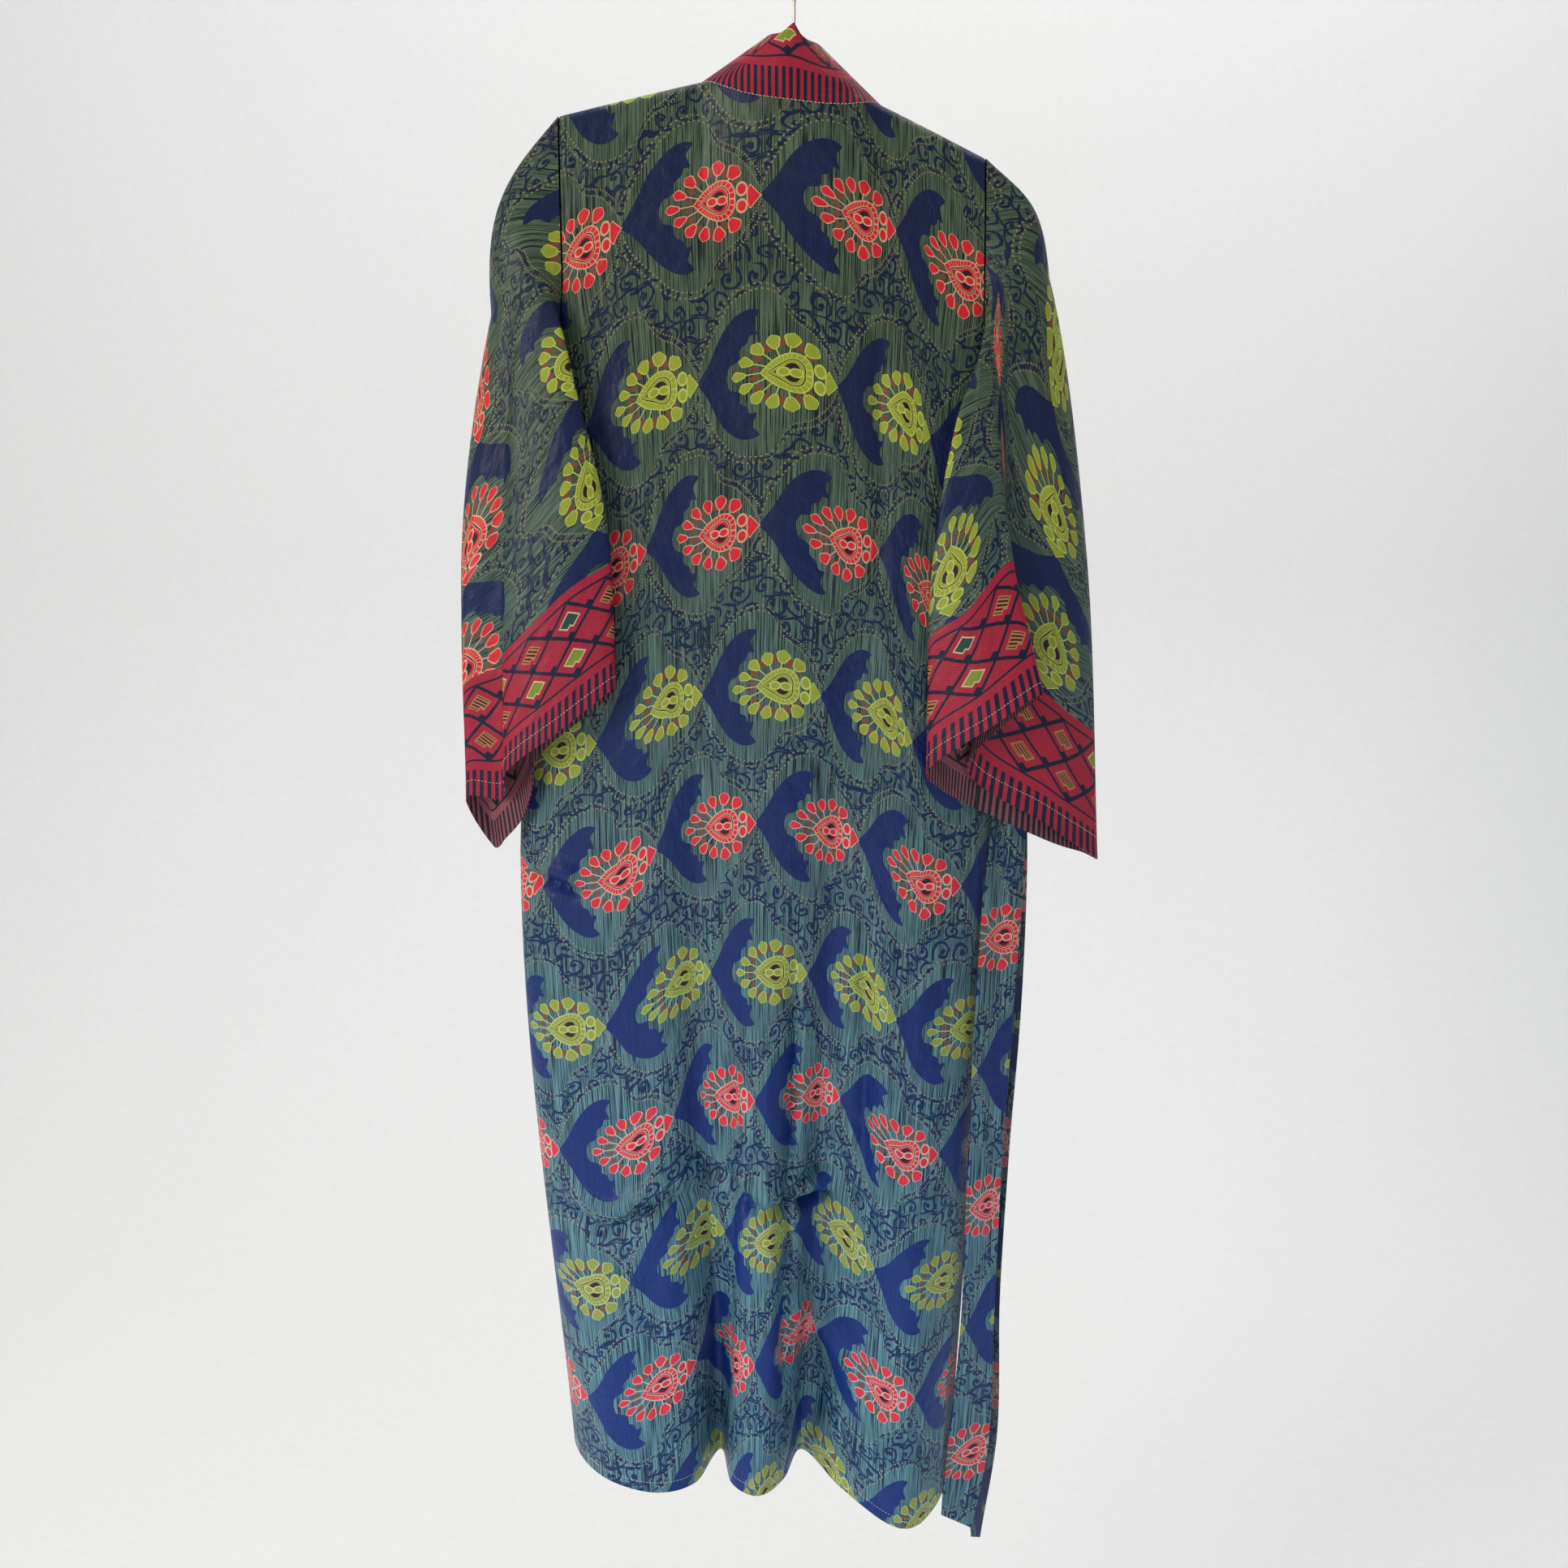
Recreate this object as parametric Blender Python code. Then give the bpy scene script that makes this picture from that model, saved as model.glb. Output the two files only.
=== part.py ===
"""A long kimono robe of patterned silk with its own sash, hanging on a coat hanger.

Metres, +Z up. The origin is inside the crown of the hanger's hook, where a rail bears.
The back of the robe faces -Y. Left and right are as seen from the back.
"""

import math

import bpy
import numpy as np

for thing in list(bpy.data.objects):
    bpy.data.objects.remove(thing)

# Driving sizes of the cloth
WALL = 0.0015
LEAST_LEAN = 0.6
SEAM_GAP = 0.0006
BODY_LENGTH = 1.43
SHOULDER_TOP = -0.102
LEFT_SLOPE = 0.24
RIGHT_SLOPE = 0.50
NECK_ROUND = 0.04
FOLD_RADIUS = 0.0085
SIDE_ROUND = 0.02
NECK_SCOOP = 0.029
NECK_STAND_OFF = 0.022
NECK_EASE = 0.16
BAND_TURN = 0.22
BAND_AT_BACK = (0.0, 0.014, 0.066)
BAND_AT_LEFT = (0.060, 0.003, 0.040)
BAND_AT_RIGHT = (-0.054, 0.003, 0.050)

# Driving sizes of the hanger: a round bar inside the cloth's fold, and a wire hook on it
HANGER_GAP = 0.0011
HANGER_RADIUS = FOLD_RADIUS - WALL / 2 - HANGER_GAP
HANGER_LEFT = -0.200
HANGER_RIGHT = 0.166
HANGER_STATIONS = 25
BAR_RESOLUTION = 4
HOOK_WIRE = 0.003
HOOK_GAP = 0.0003
CROOK_INNER = 0.016
CROOK_END = 215
CROOK_STATIONS = 20
STEM_TOP = -0.042
STEM_STATIONS = 8
WIRE_RESOLUTION = 2

# The cloth is given at four heights, by its length below the shoulder line
CHEST_DROP = 0.32
WAIST_DROP = 0.74
SECTION_DROPS = (0.0, CHEST_DROP, WAIST_DROP, BODY_LENGTH)

# The cloth seen from above, once round from one front edge to the other. A row is one fold line:
# its name, x and y under the arms, x and y at the waist, x and y at the hem, and its length.
BODY_FOLDS = (
    ("left band edge", -0.008, 0.040, -0.008, 0.048, -0.014, 0.070, 1.425),
    ("left band seam", -0.084, 0.036, -0.084, 0.046, -0.090, 0.080, 1.425),
    ("left front hollow", -0.128, 0.034, -0.132, 0.036, -0.128, 0.046, 1.420),
    ("left front ridge", -0.172, 0.032, -0.182, 0.044, -0.172, 0.084, 1.415),
    ("left front turn", -0.218, 0.022, -0.242, 0.028, -0.210, 0.056, 1.400),
    ("left side seam", -0.243, 0.000, -0.277, 0.000, -0.241, 0.002, 1.385),
    ("left turn", -0.220, -0.024, -0.252, -0.028, -0.215, -0.056, 1.392),
    ("left ridge", -0.170, -0.033, -0.190, -0.044, -0.153, -0.090, 1.408),
    ("left slope", -0.120, -0.036, -0.132, -0.048, -0.104, -0.076, 1.418),
    ("left hollow", -0.086, -0.036, -0.096, -0.043, -0.078, -0.026, 1.418),
    ("middle rise", -0.056, -0.037, -0.064, -0.048, -0.064, -0.072, 1.434),
    ("middle ridge", -0.010, -0.038, -0.022, -0.052, -0.036, -0.092, 1.440),
    ("middle fall", 0.034, -0.038, 0.018, -0.049, -0.010, -0.066, 1.428),
    ("right hollow", 0.060, -0.037, 0.044, -0.043, 0.009, -0.023, 1.410),
    ("right slope", 0.096, -0.036, 0.086, -0.048, 0.054, -0.056, 1.420),
    ("right ridge", 0.140, -0.033, 0.136, -0.048, 0.116, -0.092, 1.422),
    ("right turn", 0.184, -0.024, 0.180, -0.030, 0.154, -0.060, 1.398),
    ("right side seam", 0.206, 0.000, 0.199, 0.000, 0.174, -0.004, 1.372),
    ("right front turn", 0.184, 0.022, 0.180, 0.030, 0.160, 0.050, 1.385),
    ("right front ridge", 0.148, 0.032, 0.142, 0.044, 0.134, 0.082, 1.405),
    ("right front hollow", 0.114, 0.034, 0.110, 0.036, 0.106, 0.046, 1.415),
    ("right band seam", 0.080, 0.036, 0.078, 0.046, 0.078, 0.080, 1.425),
    ("right band edge", 0.006, 0.038, 0.006, 0.050, 0.012, 0.070, 1.425),
)

# Lengths below the shoulder line at which the cloth has a row of points: close together round the
# armhole, which ends at 0.30, and at the neck and the hem
NECK_LEVELS = (0.025, 0.06, 0.105)
ARMHOLE_LEVELS = (0.15, 0.19, 0.23, 0.265, 0.30)
WAIST_LEVELS = (0.36, 0.43, 0.50, 0.58, 0.66, WAIST_DROP, 0.82, 0.90, 0.98, 1.06, 1.14)
HEM_LEVELS = (1.21, 1.28, 1.34, 1.39, BODY_LENGTH)
BODY_LEVELS = NECK_LEVELS + ARMHOLE_LEVELS + WAIST_LEVELS + HEM_LEVELS
FOLD_STATIONS = 4
BACK_COLUMNS = 30
FRONT_COLUMNS = 9

# Armhole: the cloth cut away beside each side seam, by the length below the shoulder line
ARMHOLE_DROPS = (0.0, 0.15, 0.19, 0.23, 0.265, 0.30)
ARMHOLE_CUTS = (0.052, 0.050, 0.044, 0.034, 0.020, 0.0)
ARMHOLE_DEPTH = ARMHOLE_DROPS[-1]

# A sleeve is a tube. A row is one fold line along it: its name, where it leaves the armhole as a
# share of the way round from the shoulder by the back, and its points on the upper arm, at the
# elbow and on the cuff's edge.
LEFT_SLEEVE = (
    ("outer ridge", 0.00, (-0.285, 0.002, -0.315), (-0.322, -0.004, -0.557), (-0.303, -0.012, -0.837)),
    ("outer slope", 0.06, (-0.273, -0.022, -0.311), (-0.314, -0.028, -0.560), (-0.324, -0.031, -0.782)),
    ("hollow", 0.12, (-0.259, -0.030, -0.306), (-0.279, -0.036, -0.552), (-0.288, -0.036, -0.781)),
    ("flap crest", 0.17, (-0.246, -0.036, -0.303), (-0.268, -0.054, -0.542), (-0.278, -0.062, -0.746)),
    ("flap middle", 0.22, (-0.231, -0.041, -0.312), (-0.219, -0.066, -0.502), (-0.224, -0.074, -0.703)),
    ("flap edge", 0.28, (-0.211, -0.045, -0.345), (-0.180, -0.060, -0.500), (-0.174, -0.066, -0.665)),
    ("flap turn", 0.37, (-0.217, -0.043, -0.388), (-0.188, -0.049, -0.512), (-0.185, -0.053, -0.681)),
    ("underarm", 0.50, (-0.252, -0.018, -0.470), (-0.243, -0.044, -0.585), (-0.248, -0.047, -0.734)),
    ("front inner", 0.62, (-0.268, 0.010, -0.455), (-0.272, -0.028, -0.605), (-0.258, -0.040, -0.773)),
    ("front middle", 0.75, (-0.277, 0.026, -0.390), (-0.298, -0.008, -0.604), (-0.270, -0.030, -0.803)),
    ("front outer", 0.88, (-0.284, 0.022, -0.341), (-0.315, 0.006, -0.585), (-0.288, -0.022, -0.826)),
)
RIGHT_SLEEVE = (
    ("outer ridge", 0.00, (0.240, 0.002, -0.281), (0.285, -0.004, -0.541), (0.306, -0.012, -0.850)),
    ("outer slope", 0.07, (0.221, -0.022, -0.289), (0.261, -0.032, -0.545), (0.250, -0.040, -0.806)),
    ("fold bottom", 0.13, (0.199, -0.031, -0.311), (0.203, -0.046, -0.551), (0.170, -0.060, -0.744)),
    ("fold edge", 0.20, (0.180, -0.041, -0.350), (0.203, -0.064, -0.525), (0.236, -0.087, -0.665)),
    ("flap middle", 0.26, (0.168, -0.047, -0.378), (0.166, -0.074, -0.546), (0.183, -0.092, -0.699)),
    ("flap edge", 0.32, (0.154, -0.049, -0.408), (0.134, -0.066, -0.540), (0.132, -0.076, -0.739)),
    ("far inner", 0.39, (0.165, -0.043, -0.436), (0.142, -0.053, -0.570), (0.140, -0.062, -0.762)),
    ("underarm", 0.50, (0.214, -0.017, -0.512), (0.196, -0.038, -0.640), (0.180, -0.045, -0.789)),
    ("front inner", 0.62, (0.226, 0.010, -0.490), (0.230, -0.026, -0.635), (0.222, -0.035, -0.811)),
    ("front middle", 0.75, (0.236, 0.026, -0.410), (0.258, -0.006, -0.618), (0.264, -0.020, -0.833)),
    ("front outer", 0.88, (0.240, 0.022, -0.335), (0.278, 0.009, -0.584), (0.294, -0.006, -0.846)),
)
SLEEVE_SECTIONS = (0.0, 0.30, 0.62, 1.0)
SLEEVE_LEVELS = 16
COLUMNS_A_FOLD = 3
LEFT_CAP_BULGE = 0.020
RIGHT_CAP_BULGE = 0.010
ARMHOLE_GAP = 0.0018

# The narrow strip of each panel beside its seams, as a share of its width, and of the band's
EDGE_STRIP = 0.008
BAND_COLUMNS = (0.0, 0.04, 0.35, 0.70, 1.0)
BAND_FIRST_DROPS = (0.003, 0.012)
NECK_STATIONS = 13

# The sash hangs through the right belt loop. A row is one station from the near end to the far
# one: its name, its middle x, y, z, its width there and its turn from the X axis in degrees.
SASH = (
    ("near end", 0.181, -0.036, -1.609, 0.036, 20),
    ("near hem", 0.190, -0.037, -1.535, 0.052, 26),
    ("near knee", 0.198, -0.036, -1.370, 0.043, 28),
    ("near thigh", 0.201, -0.034, -1.190, 0.042, 28),
    ("near hip", 0.206, -0.029, -1.030, 0.046, 28),
    ("near waist", 0.214, -0.016, -0.860, 0.042, 18),
    ("near bunch", 0.221, -0.012, -0.730, 0.024, 10),
    ("near bend", 0.221, -0.011, -0.636, 0.014, 0),
    ("on the loop", 0.221, 0.000, -0.6194, 0.013, 0),
    ("far bend", 0.221, 0.011, -0.636, 0.014, 0),
    ("far bunch", 0.222, 0.015, -0.730, 0.024, -10),
    ("far waist", 0.222, 0.022, -0.860, 0.040, -18),
    ("far hip", 0.220, 0.030, -1.030, 0.044, -22),
    ("far thigh", 0.214, 0.034, -1.190, 0.043, -22),
    ("far knee", 0.210, 0.034, -1.370, 0.042, -22),
    ("far hem", 0.213, 0.030, -1.540, 0.038, -20),
    ("far end", 0.210, 0.022, -1.672, 0.010, -10),
)
SASH_STATIONS = 44
SASH_COLUMNS = 4
SASH_BEND_STEP = 0.004
SASH_END_SLANT = 0.7
SASH_SLANT_RUN = 0.08

# Belt loops: narrow strips sewn on the side seams, the right one pulled out by the sash
LOOP_TOP_DROP = 0.385
LOOP_LENGTH = 0.066
LOOP_WIDTH = 0.008
LOOP_STATIONS = 13
LOOP_COLUMNS = 2
LEFT_LOOP_SEAT = WALL + 0.0001
RIGHT_LOOP_SEAT = WALL - 0.0004
RIGHT_LOOP_REACH = 0.032
LEFT_LOOP_REACH = 0.010


def table_curve(knots, values, at):
    """Smooth values: a cubic through each knot, with the mean slope of its two sides there."""
    knots = np.asarray(knots, float)
    values = np.asarray(values, float)
    at = np.clip(np.asarray(at, float), knots[0], knots[-1])
    step = np.diff(knots)
    rise = np.diff(values, axis=0) / step.reshape((-1,) + (1,) * (values.ndim - 1))
    slope = np.concatenate([rise[:1], (rise[1:] + rise[:-1]) / 2, rise[-1:]])
    cell = np.clip(np.searchsorted(knots, at, side="right") - 1, 0, len(step) - 1)
    shape = at.shape + (1,) * (values.ndim - 1)
    wide = step[cell].reshape(shape)
    t = (at - knots[cell]).reshape(shape) / wide
    return (
        values[cell] * (1 + 2 * t) * (1 - t) ** 2
        + slope[cell] * wide * t * (1 - t) ** 2
        + values[cell + 1] * t * t * (3 - 2 * t)
        + slope[cell + 1] * wide * t * t * (t - 1)
    )


def smooth(value):
    """0 below 0, 1 above 1, and an even S between."""
    t = np.clip(value, 0.0, 1.0)
    return t * t * (3 - 2 * t)


FOLD_NAMES = [row[0] for row in BODY_FOLDS]
FOLD_PLAN = np.array([row[1:7] for row in BODY_FOLDS]).reshape(-1, 3, 2)
FOLD_LENGTHS = np.array([row[7] for row in BODY_FOLDS])
FOLD_STEPS = np.linalg.norm(np.diff(FOLD_PLAN, axis=0), axis=2).mean(axis=1)
FOLD_PLACES = np.concatenate([[0.0], np.cumsum(FOLD_STEPS)])


def place_of(name):
    """How far round the cloth a named fold line lies."""
    return FOLD_PLACES[FOLD_NAMES.index(name)]


def shoulder_line(x):
    """Height of the shoulder: two slopes that meet in a rounded apex over the hook."""
    steep = (LEFT_SLOPE + RIGHT_SLOPE) / 2
    lean = (RIGHT_SLOPE - LEFT_SLOPE) / 2
    return SHOULDER_TOP - steep * (np.sqrt(x * x + NECK_ROUND**2) - NECK_ROUND) - lean * x


def neck_share(x):
    """0 at the middle of the back neck and 1 at its two corners, where the bands turn forward."""
    left = FOLD_PLAN[FOLD_NAMES.index("left band seam"), 0, 0]
    right = FOLD_PLAN[FOLD_NAMES.index("right band seam"), 0, 0]
    return np.abs(x - (left + right) / 2) / ((right - left) / 2)


def body_points(place, drop):
    """The body's cloth: place is the way round it, drop the length below the shoulder line.

    Between the four sections each fold line is a smooth curve. The cloth leaves the shoulder
    round a fold of FOLD_RADIUS. At the back neck it stands off, behind the wearer's neck.
    """
    place, drop = np.broadcast_arrays(np.asarray(place, float), np.asarray(drop, float))
    plan = table_curve(FOLD_PLACES, FOLD_PLAN, place)
    length = table_curve(FOLD_PLACES, FOLD_LENGTHS, place)
    side = np.clip(plan[..., 0, 1] / SIDE_ROUND, -1, 1)
    top = np.stack([plan[..., 0, 0], side * FOLD_RADIUS], axis=-1)
    weights = table_curve(SECTION_DROPS, np.eye(4), drop)
    sections = np.concatenate([top[..., None, :], plan], axis=-2)
    xy = (sections * weights[..., None]).sum(axis=-2)
    quarter = FOLD_RADIUS * math.pi / 2
    angle = np.minimum(drop / FOLD_RADIUS, math.pi / 2)
    y = xy[..., 1] * np.sin(angle)
    share = neck_share(top[..., 0])
    off = NECK_STAND_OFF * np.clip(1 - share**2, 0, 1) * (1 - smooth(drop / NECK_EASE))
    y = np.where(side < 0, y - off, y)
    fall = FOLD_RADIUS * (1 - np.cos(angle)) + np.maximum(drop - quarter, 0)
    fall = fall + (length - BODY_LENGTH) * (drop / BODY_LENGTH) ** 3
    return np.stack([xy[..., 0], y, shoulder_line(top[..., 0]) - fall], axis=-1)


def armhole_place(side, drop, front):
    """The way round the cloth at which a panel is cut for the armhole."""
    seam = place_of("left side seam" if side < 0 else "right side seam")
    cut = np.interp(drop, ARMHOLE_DROPS, ARMHOLE_CUTS)
    towards = -side if not front else side
    return seam + towards * (cut + SEAM_GAP / 2)


def armhole_loop(side, share):
    """The armhole's edge: share 0 is the shoulder, 0.5 the underarm, and the back comes first."""
    share = np.mod(share, 1.0)
    front = share > 0.5
    drop = ARMHOLE_DEPTH * np.where(front, 1 - share, share) / 0.5
    back_edge = body_points(armhole_place(side, drop, False), drop)
    front_edge = body_points(armhole_place(side, drop, True), drop)
    edge = np.where(front[..., None], front_edge, back_edge)
    edge[..., 0] += side * ARMHOLE_GAP
    edge[..., 1] -= ARMHOLE_GAP * np.sin(2 * math.pi * share)
    return edge


def sleeve_points(side, folds, across, along):
    """A sleeve's cloth: across counts fold lines round the tube, along is 0 to 1 from the armhole."""
    across, along = np.broadcast_arrays(across, along)
    count = len(folds)
    plan = np.array([row[2:5] for row in folds])
    shares = np.array([row[1] for row in folds])
    order = np.arange(-2, count + 3)
    turns = order // count
    share = table_curve(order, shares[order % count] + turns, across)
    rings = table_curve(order, plan[order % count], across)
    rings = np.concatenate([armhole_loop(side, share)[..., None, :], rings], axis=-2)
    weights = table_curve(SLEEVE_SECTIONS, np.eye(4), along)
    points = (rings * weights[..., None]).sum(axis=-2)
    top = np.clip(along / SLEEVE_SECTIONS[1], 0, 1)
    height = LEFT_CAP_BULGE if side < 0 else RIGHT_CAP_BULGE
    bulge = height * np.sin(math.pi * top) * np.cos(math.pi * share) ** 4
    points[..., 0] += side * bulge
    points[..., 2] += bulge / 2
    return points


def collection_for(name):
    group = bpy.data.collections.new(name)
    bpy.context.scene.collection.children.link(group)
    return group


def silk(name, colour):
    material = bpy.data.materials.new(name)
    material.use_nodes = True
    shader = material.node_tree.nodes["Principled BSDF"]
    shader.inputs["Base Color"].default_value = (*colour, 1.0)
    shader.inputs["Roughness"].default_value = 0.55
    return material


def finish_of(name, colour, roughness, metallic):
    material = silk(name, colour)
    shader = material.node_tree.nodes["Principled BSDF"]
    shader.inputs["Roughness"].default_value = roughness
    shader.inputs["Metallic"].default_value = metallic
    return material


def facing(points, closed):
    """Which way the cloth faces at each point, and the share that keeps its wall even on a fold.

    The cloth on the two sides of a point counts the same, so a sharp fold isn't pulled one way.
    """
    step = np.diff(points, axis=1, append=points[:, :1])
    before = np.roll(step, 1, axis=1)
    if not closed:
        before[:, 0] = step[:, 0]
        step[:, -1] = before[:, -1]
    down = np.gradient(points, axis=0)
    sides = np.stack([np.cross(down, before), np.cross(down, step)])
    sides /= np.linalg.norm(sides, axis=-1, keepdims=True)
    normal = sides.sum(axis=0)
    normal /= np.linalg.norm(normal, axis=-1, keepdims=True)
    lean = (normal * sides[0]).sum(axis=-1, keepdims=True)
    return normal / np.maximum(lean, LEAST_LEAN)


def cloth_from_grid(name, points, material, closed=False):
    """A piece of cloth: two skins a wall apart, closed round their edges.

    points is rows by columns by three, the middle of the wall. closed joins the last column to
    the first, as in a tube. Each cell is cut along its shorter diagonal, the same on both skins.
    """
    rows, columns = points.shape[:2]
    offset = facing(points, closed) * WALL / 2
    skins = np.concatenate([points + offset, points - offset])
    skins = skins.reshape(-1, 3)
    front = np.arange(rows * columns).reshape(rows, columns)
    if closed:
        front = np.concatenate([front, front[:, :1]], axis=1)
    rear = front + rows * columns
    corners = [front[:-1, :-1], front[:-1, 1:], front[1:, 1:], front[1:, :-1]]
    a, b, c, d = (corner.ravel() for corner in corners)
    middle = points.reshape(-1, 3)
    across_ac = np.linalg.norm(middle[a] - middle[c], axis=1)
    across_bd = np.linalg.norm(middle[b] - middle[d], axis=1)
    cut = (across_ac <= across_bd)[:, None]
    first = np.where(cut, np.stack([a, b, c], axis=1), np.stack([a, b, d], axis=1))
    second = np.where(cut, np.stack([a, c, d], axis=1), np.stack([b, c, d], axis=1))
    skin = np.concatenate([first, second])
    faces = [skin[:, ::-1], skin + rows * columns]
    edges = [(front[0], rear[0]), (rear[-1], front[-1])]
    if not closed:
        edges += [(rear[:, 0], front[:, 0]), (front[:, -1], rear[:, -1])]
    for near, far in edges:
        faces.append(np.stack([near[:-1], near[1:], far[1:]], axis=1))
        faces.append(np.stack([near[:-1], far[1:], far[:-1]], axis=1))
    mesh = bpy.data.meshes.new(name)
    mesh.from_pydata(skins.tolist(), [], np.concatenate(faces).tolist())
    mesh.materials.append(material)
    mesh.shade_smooth()
    piece = bpy.data.objects.new(name, mesh)
    robe.objects.link(piece)
    return piece


def panel(name, first_edge, last_edge, columns, start, material):
    """A panel between two edges.

    Each edge gives its place for a drop, and start gives the first drop at a place.
    """
    turn = np.linspace(0.0, 1.0, FOLD_STATIONS) * FOLD_RADIUS * math.pi / 2
    drops = np.concatenate([turn, np.array(BODY_LEVELS)])
    share = np.linspace(0.0, 1.0, columns + 1)
    share = np.concatenate([[0.0, EDGE_STRIP], share[1:-1], [1 - EDGE_STRIP, 1.0]])
    first = first_edge(drops)[:, None]
    last = last_edge(drops)[:, None]
    place = first + (last - first) * share[None, :]
    begin = start(place)
    drop = begin + drops[:, None] * (BODY_LENGTH - begin) / BODY_LENGTH
    return cloth_from_grid(name, body_points(place, drop), material)


def neckline_drop(place):
    """How far below the shoulder line the back panel starts: the scoop, and half a seam elsewhere."""
    share = neck_share(table_curve(FOLD_PLACES, FOLD_PLAN[:, 0, 0], place))
    return SEAM_GAP / 2 + NECK_SCOOP * np.clip(1 - share**2, 0, 1)


def shoulder_drop(place):
    """The fronts start at the shoulder line, half a seam below it."""
    return np.full(np.shape(place), SEAM_GAP / 2)


def neckband():
    """The band: up the left front, round the back neck and down the right front, its free edge inwards."""
    front_drops = np.array(BAND_FIRST_DROPS + BODY_LEVELS)
    across = np.array(BAND_COLUMNS)[None, :, None]
    stretches = []
    for side, reach in ((-1, BAND_AT_LEFT), (1, BAND_AT_RIGHT)):
        where = "left" if side < 0 else "right"
        seam = place_of(where + " band seam") + side * SEAM_GAP
        place = seam + (place_of(where + " band edge") - seam) * across[..., 0]
        flat = body_points(place, front_drops[:, None])
        standing = flat[:, :1] + np.array(reach) * across
        turned = smooth(front_drops / BAND_TURN)[:, None, None]
        stretches.append(standing * (1 - turned) + flat * turned)
    corners = [place_of("left band seam"), place_of("right band seam")]
    left_x, right_x = (float(body_points(corner, 0.0)[0]) for corner in corners)
    turn = np.linspace(0.0, math.pi, NECK_STATIONS)
    x = (left_x + right_x) / 2 - (right_x - left_x) / 2 * np.cos(turn)
    x[0] += SEAM_GAP
    x[-1] -= SEAM_GAP
    share = neck_share(x)
    scoop = NECK_SCOOP * np.clip(1 - share**2, 0, 1)
    first = FOLD_NAMES.index("left side seam")
    last = FOLD_NAMES.index("right side seam") + 1
    places = np.interp(x, FOLD_PLAN[first:last, 0, 0], FOLD_PLACES[first:last])
    seam = body_points(places, scoop)
    seam[:, 2] += SEAM_GAP
    blend = np.clip(1 - share**2, 0, 1)[:, None] ** 2
    left = x < (left_x + right_x) / 2
    side_reach = np.where(left[:, None], BAND_AT_LEFT, BAND_AT_RIGHT)
    out = side_reach * (1 - blend) + np.array(BAND_AT_BACK) * blend
    out[:, 0] = (np.where(left, left_x, right_x) + side_reach[:, 0]) * share**2 - x
    neck = seam[:, None, :] + out[:, None, :] * across
    points = np.concatenate([stretches[0][::-1], neck, stretches[1]])
    return cloth_from_grid("neckband", points, red_border)


def sash():
    """A strip through its stations, gathered where the loop holds it."""
    stations = np.array([row[1:] for row in SASH])
    steps = np.linalg.norm(np.diff(stations[:, :3], axis=0), axis=1)
    run = np.concatenate([[0.0], np.cumsum(steps)])
    even = np.linspace(0.0, run[-1], SASH_STATIONS)
    names = [row[0] for row in SASH]
    held = run[names.index("near bunch") : names.index("far bunch") + 1]
    along = np.sort(np.concatenate([even, held, held[1:-1] + SASH_BEND_STEP]))
    strip = table_curve(run, stations, along)
    turn = np.radians(strip[:, 4])
    offset = np.linspace(-0.5, 0.5, SASH_COLUMNS + 1)[None, :] * strip[:, 3, None]
    x = strip[:, 0, None] + offset * np.cos(turn)[:, None]
    y = strip[:, 1, None] + offset * np.sin(turn)[:, None]
    near = (1 - smooth(along / SASH_SLANT_RUN))[:, None]
    z = strip[:, 2, None] - offset * near * SASH_END_SLANT
    return cloth_from_grid("sash", np.stack([x, y, z], axis=-1), blue_silk)


def belt_loop(name, side, seat, reach):
    """A strip whose two ends are sewn to the side seam: a half ellipse standing out by its reach.

    seat is how far its ends lie outside the middle of the body's wall.
    """
    seam = place_of("left side seam" if side < 0 else "right side seam")
    turn = np.linspace(0.0, math.pi, LOOP_STATIONS)
    drop = LOOP_TOP_DROP + LOOP_LENGTH / 2 * (1 - np.cos(turn))
    path = body_points(seam, drop)
    path[:, 0] += side * (seat + reach * np.sin(turn))
    across = np.linspace(-0.5, 0.5, LOOP_COLUMNS + 1)[None, :, None] * np.array([0.0, LOOP_WIDTH, 0.0])
    return cloth_from_grid(name, path[:, None, :] + across, blue_silk)


def rod(name, path, radius, resolution, material):
    """A round bar along a path of points."""
    curve = bpy.data.curves.new(name, "CURVE")
    curve.dimensions = "3D"
    curve.bevel_depth = radius
    curve.bevel_resolution = resolution
    curve.use_fill_caps = True
    spline = curve.splines.new("POLY")
    spline.points.add(len(path) - 1)
    spline.points.foreach_set("co", np.hstack([path, np.ones((len(path), 1))]).ravel())
    curve.materials.append(material)
    bar = bpy.data.objects.new(name, curve)
    robe.objects.link(bar)
    return bar


def hanger():
    """The bar lies along the shoulder line, inside the fold of the cloth."""
    x = np.linspace(HANGER_LEFT, HANGER_RIGHT, HANGER_STATIONS)
    path = np.stack([x, np.zeros_like(x), shoulder_line(x) - FOLD_RADIUS], axis=-1)
    return rod("hanger", path, HANGER_RADIUS, BAR_RESOLUTION, pale_wood)


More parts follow.
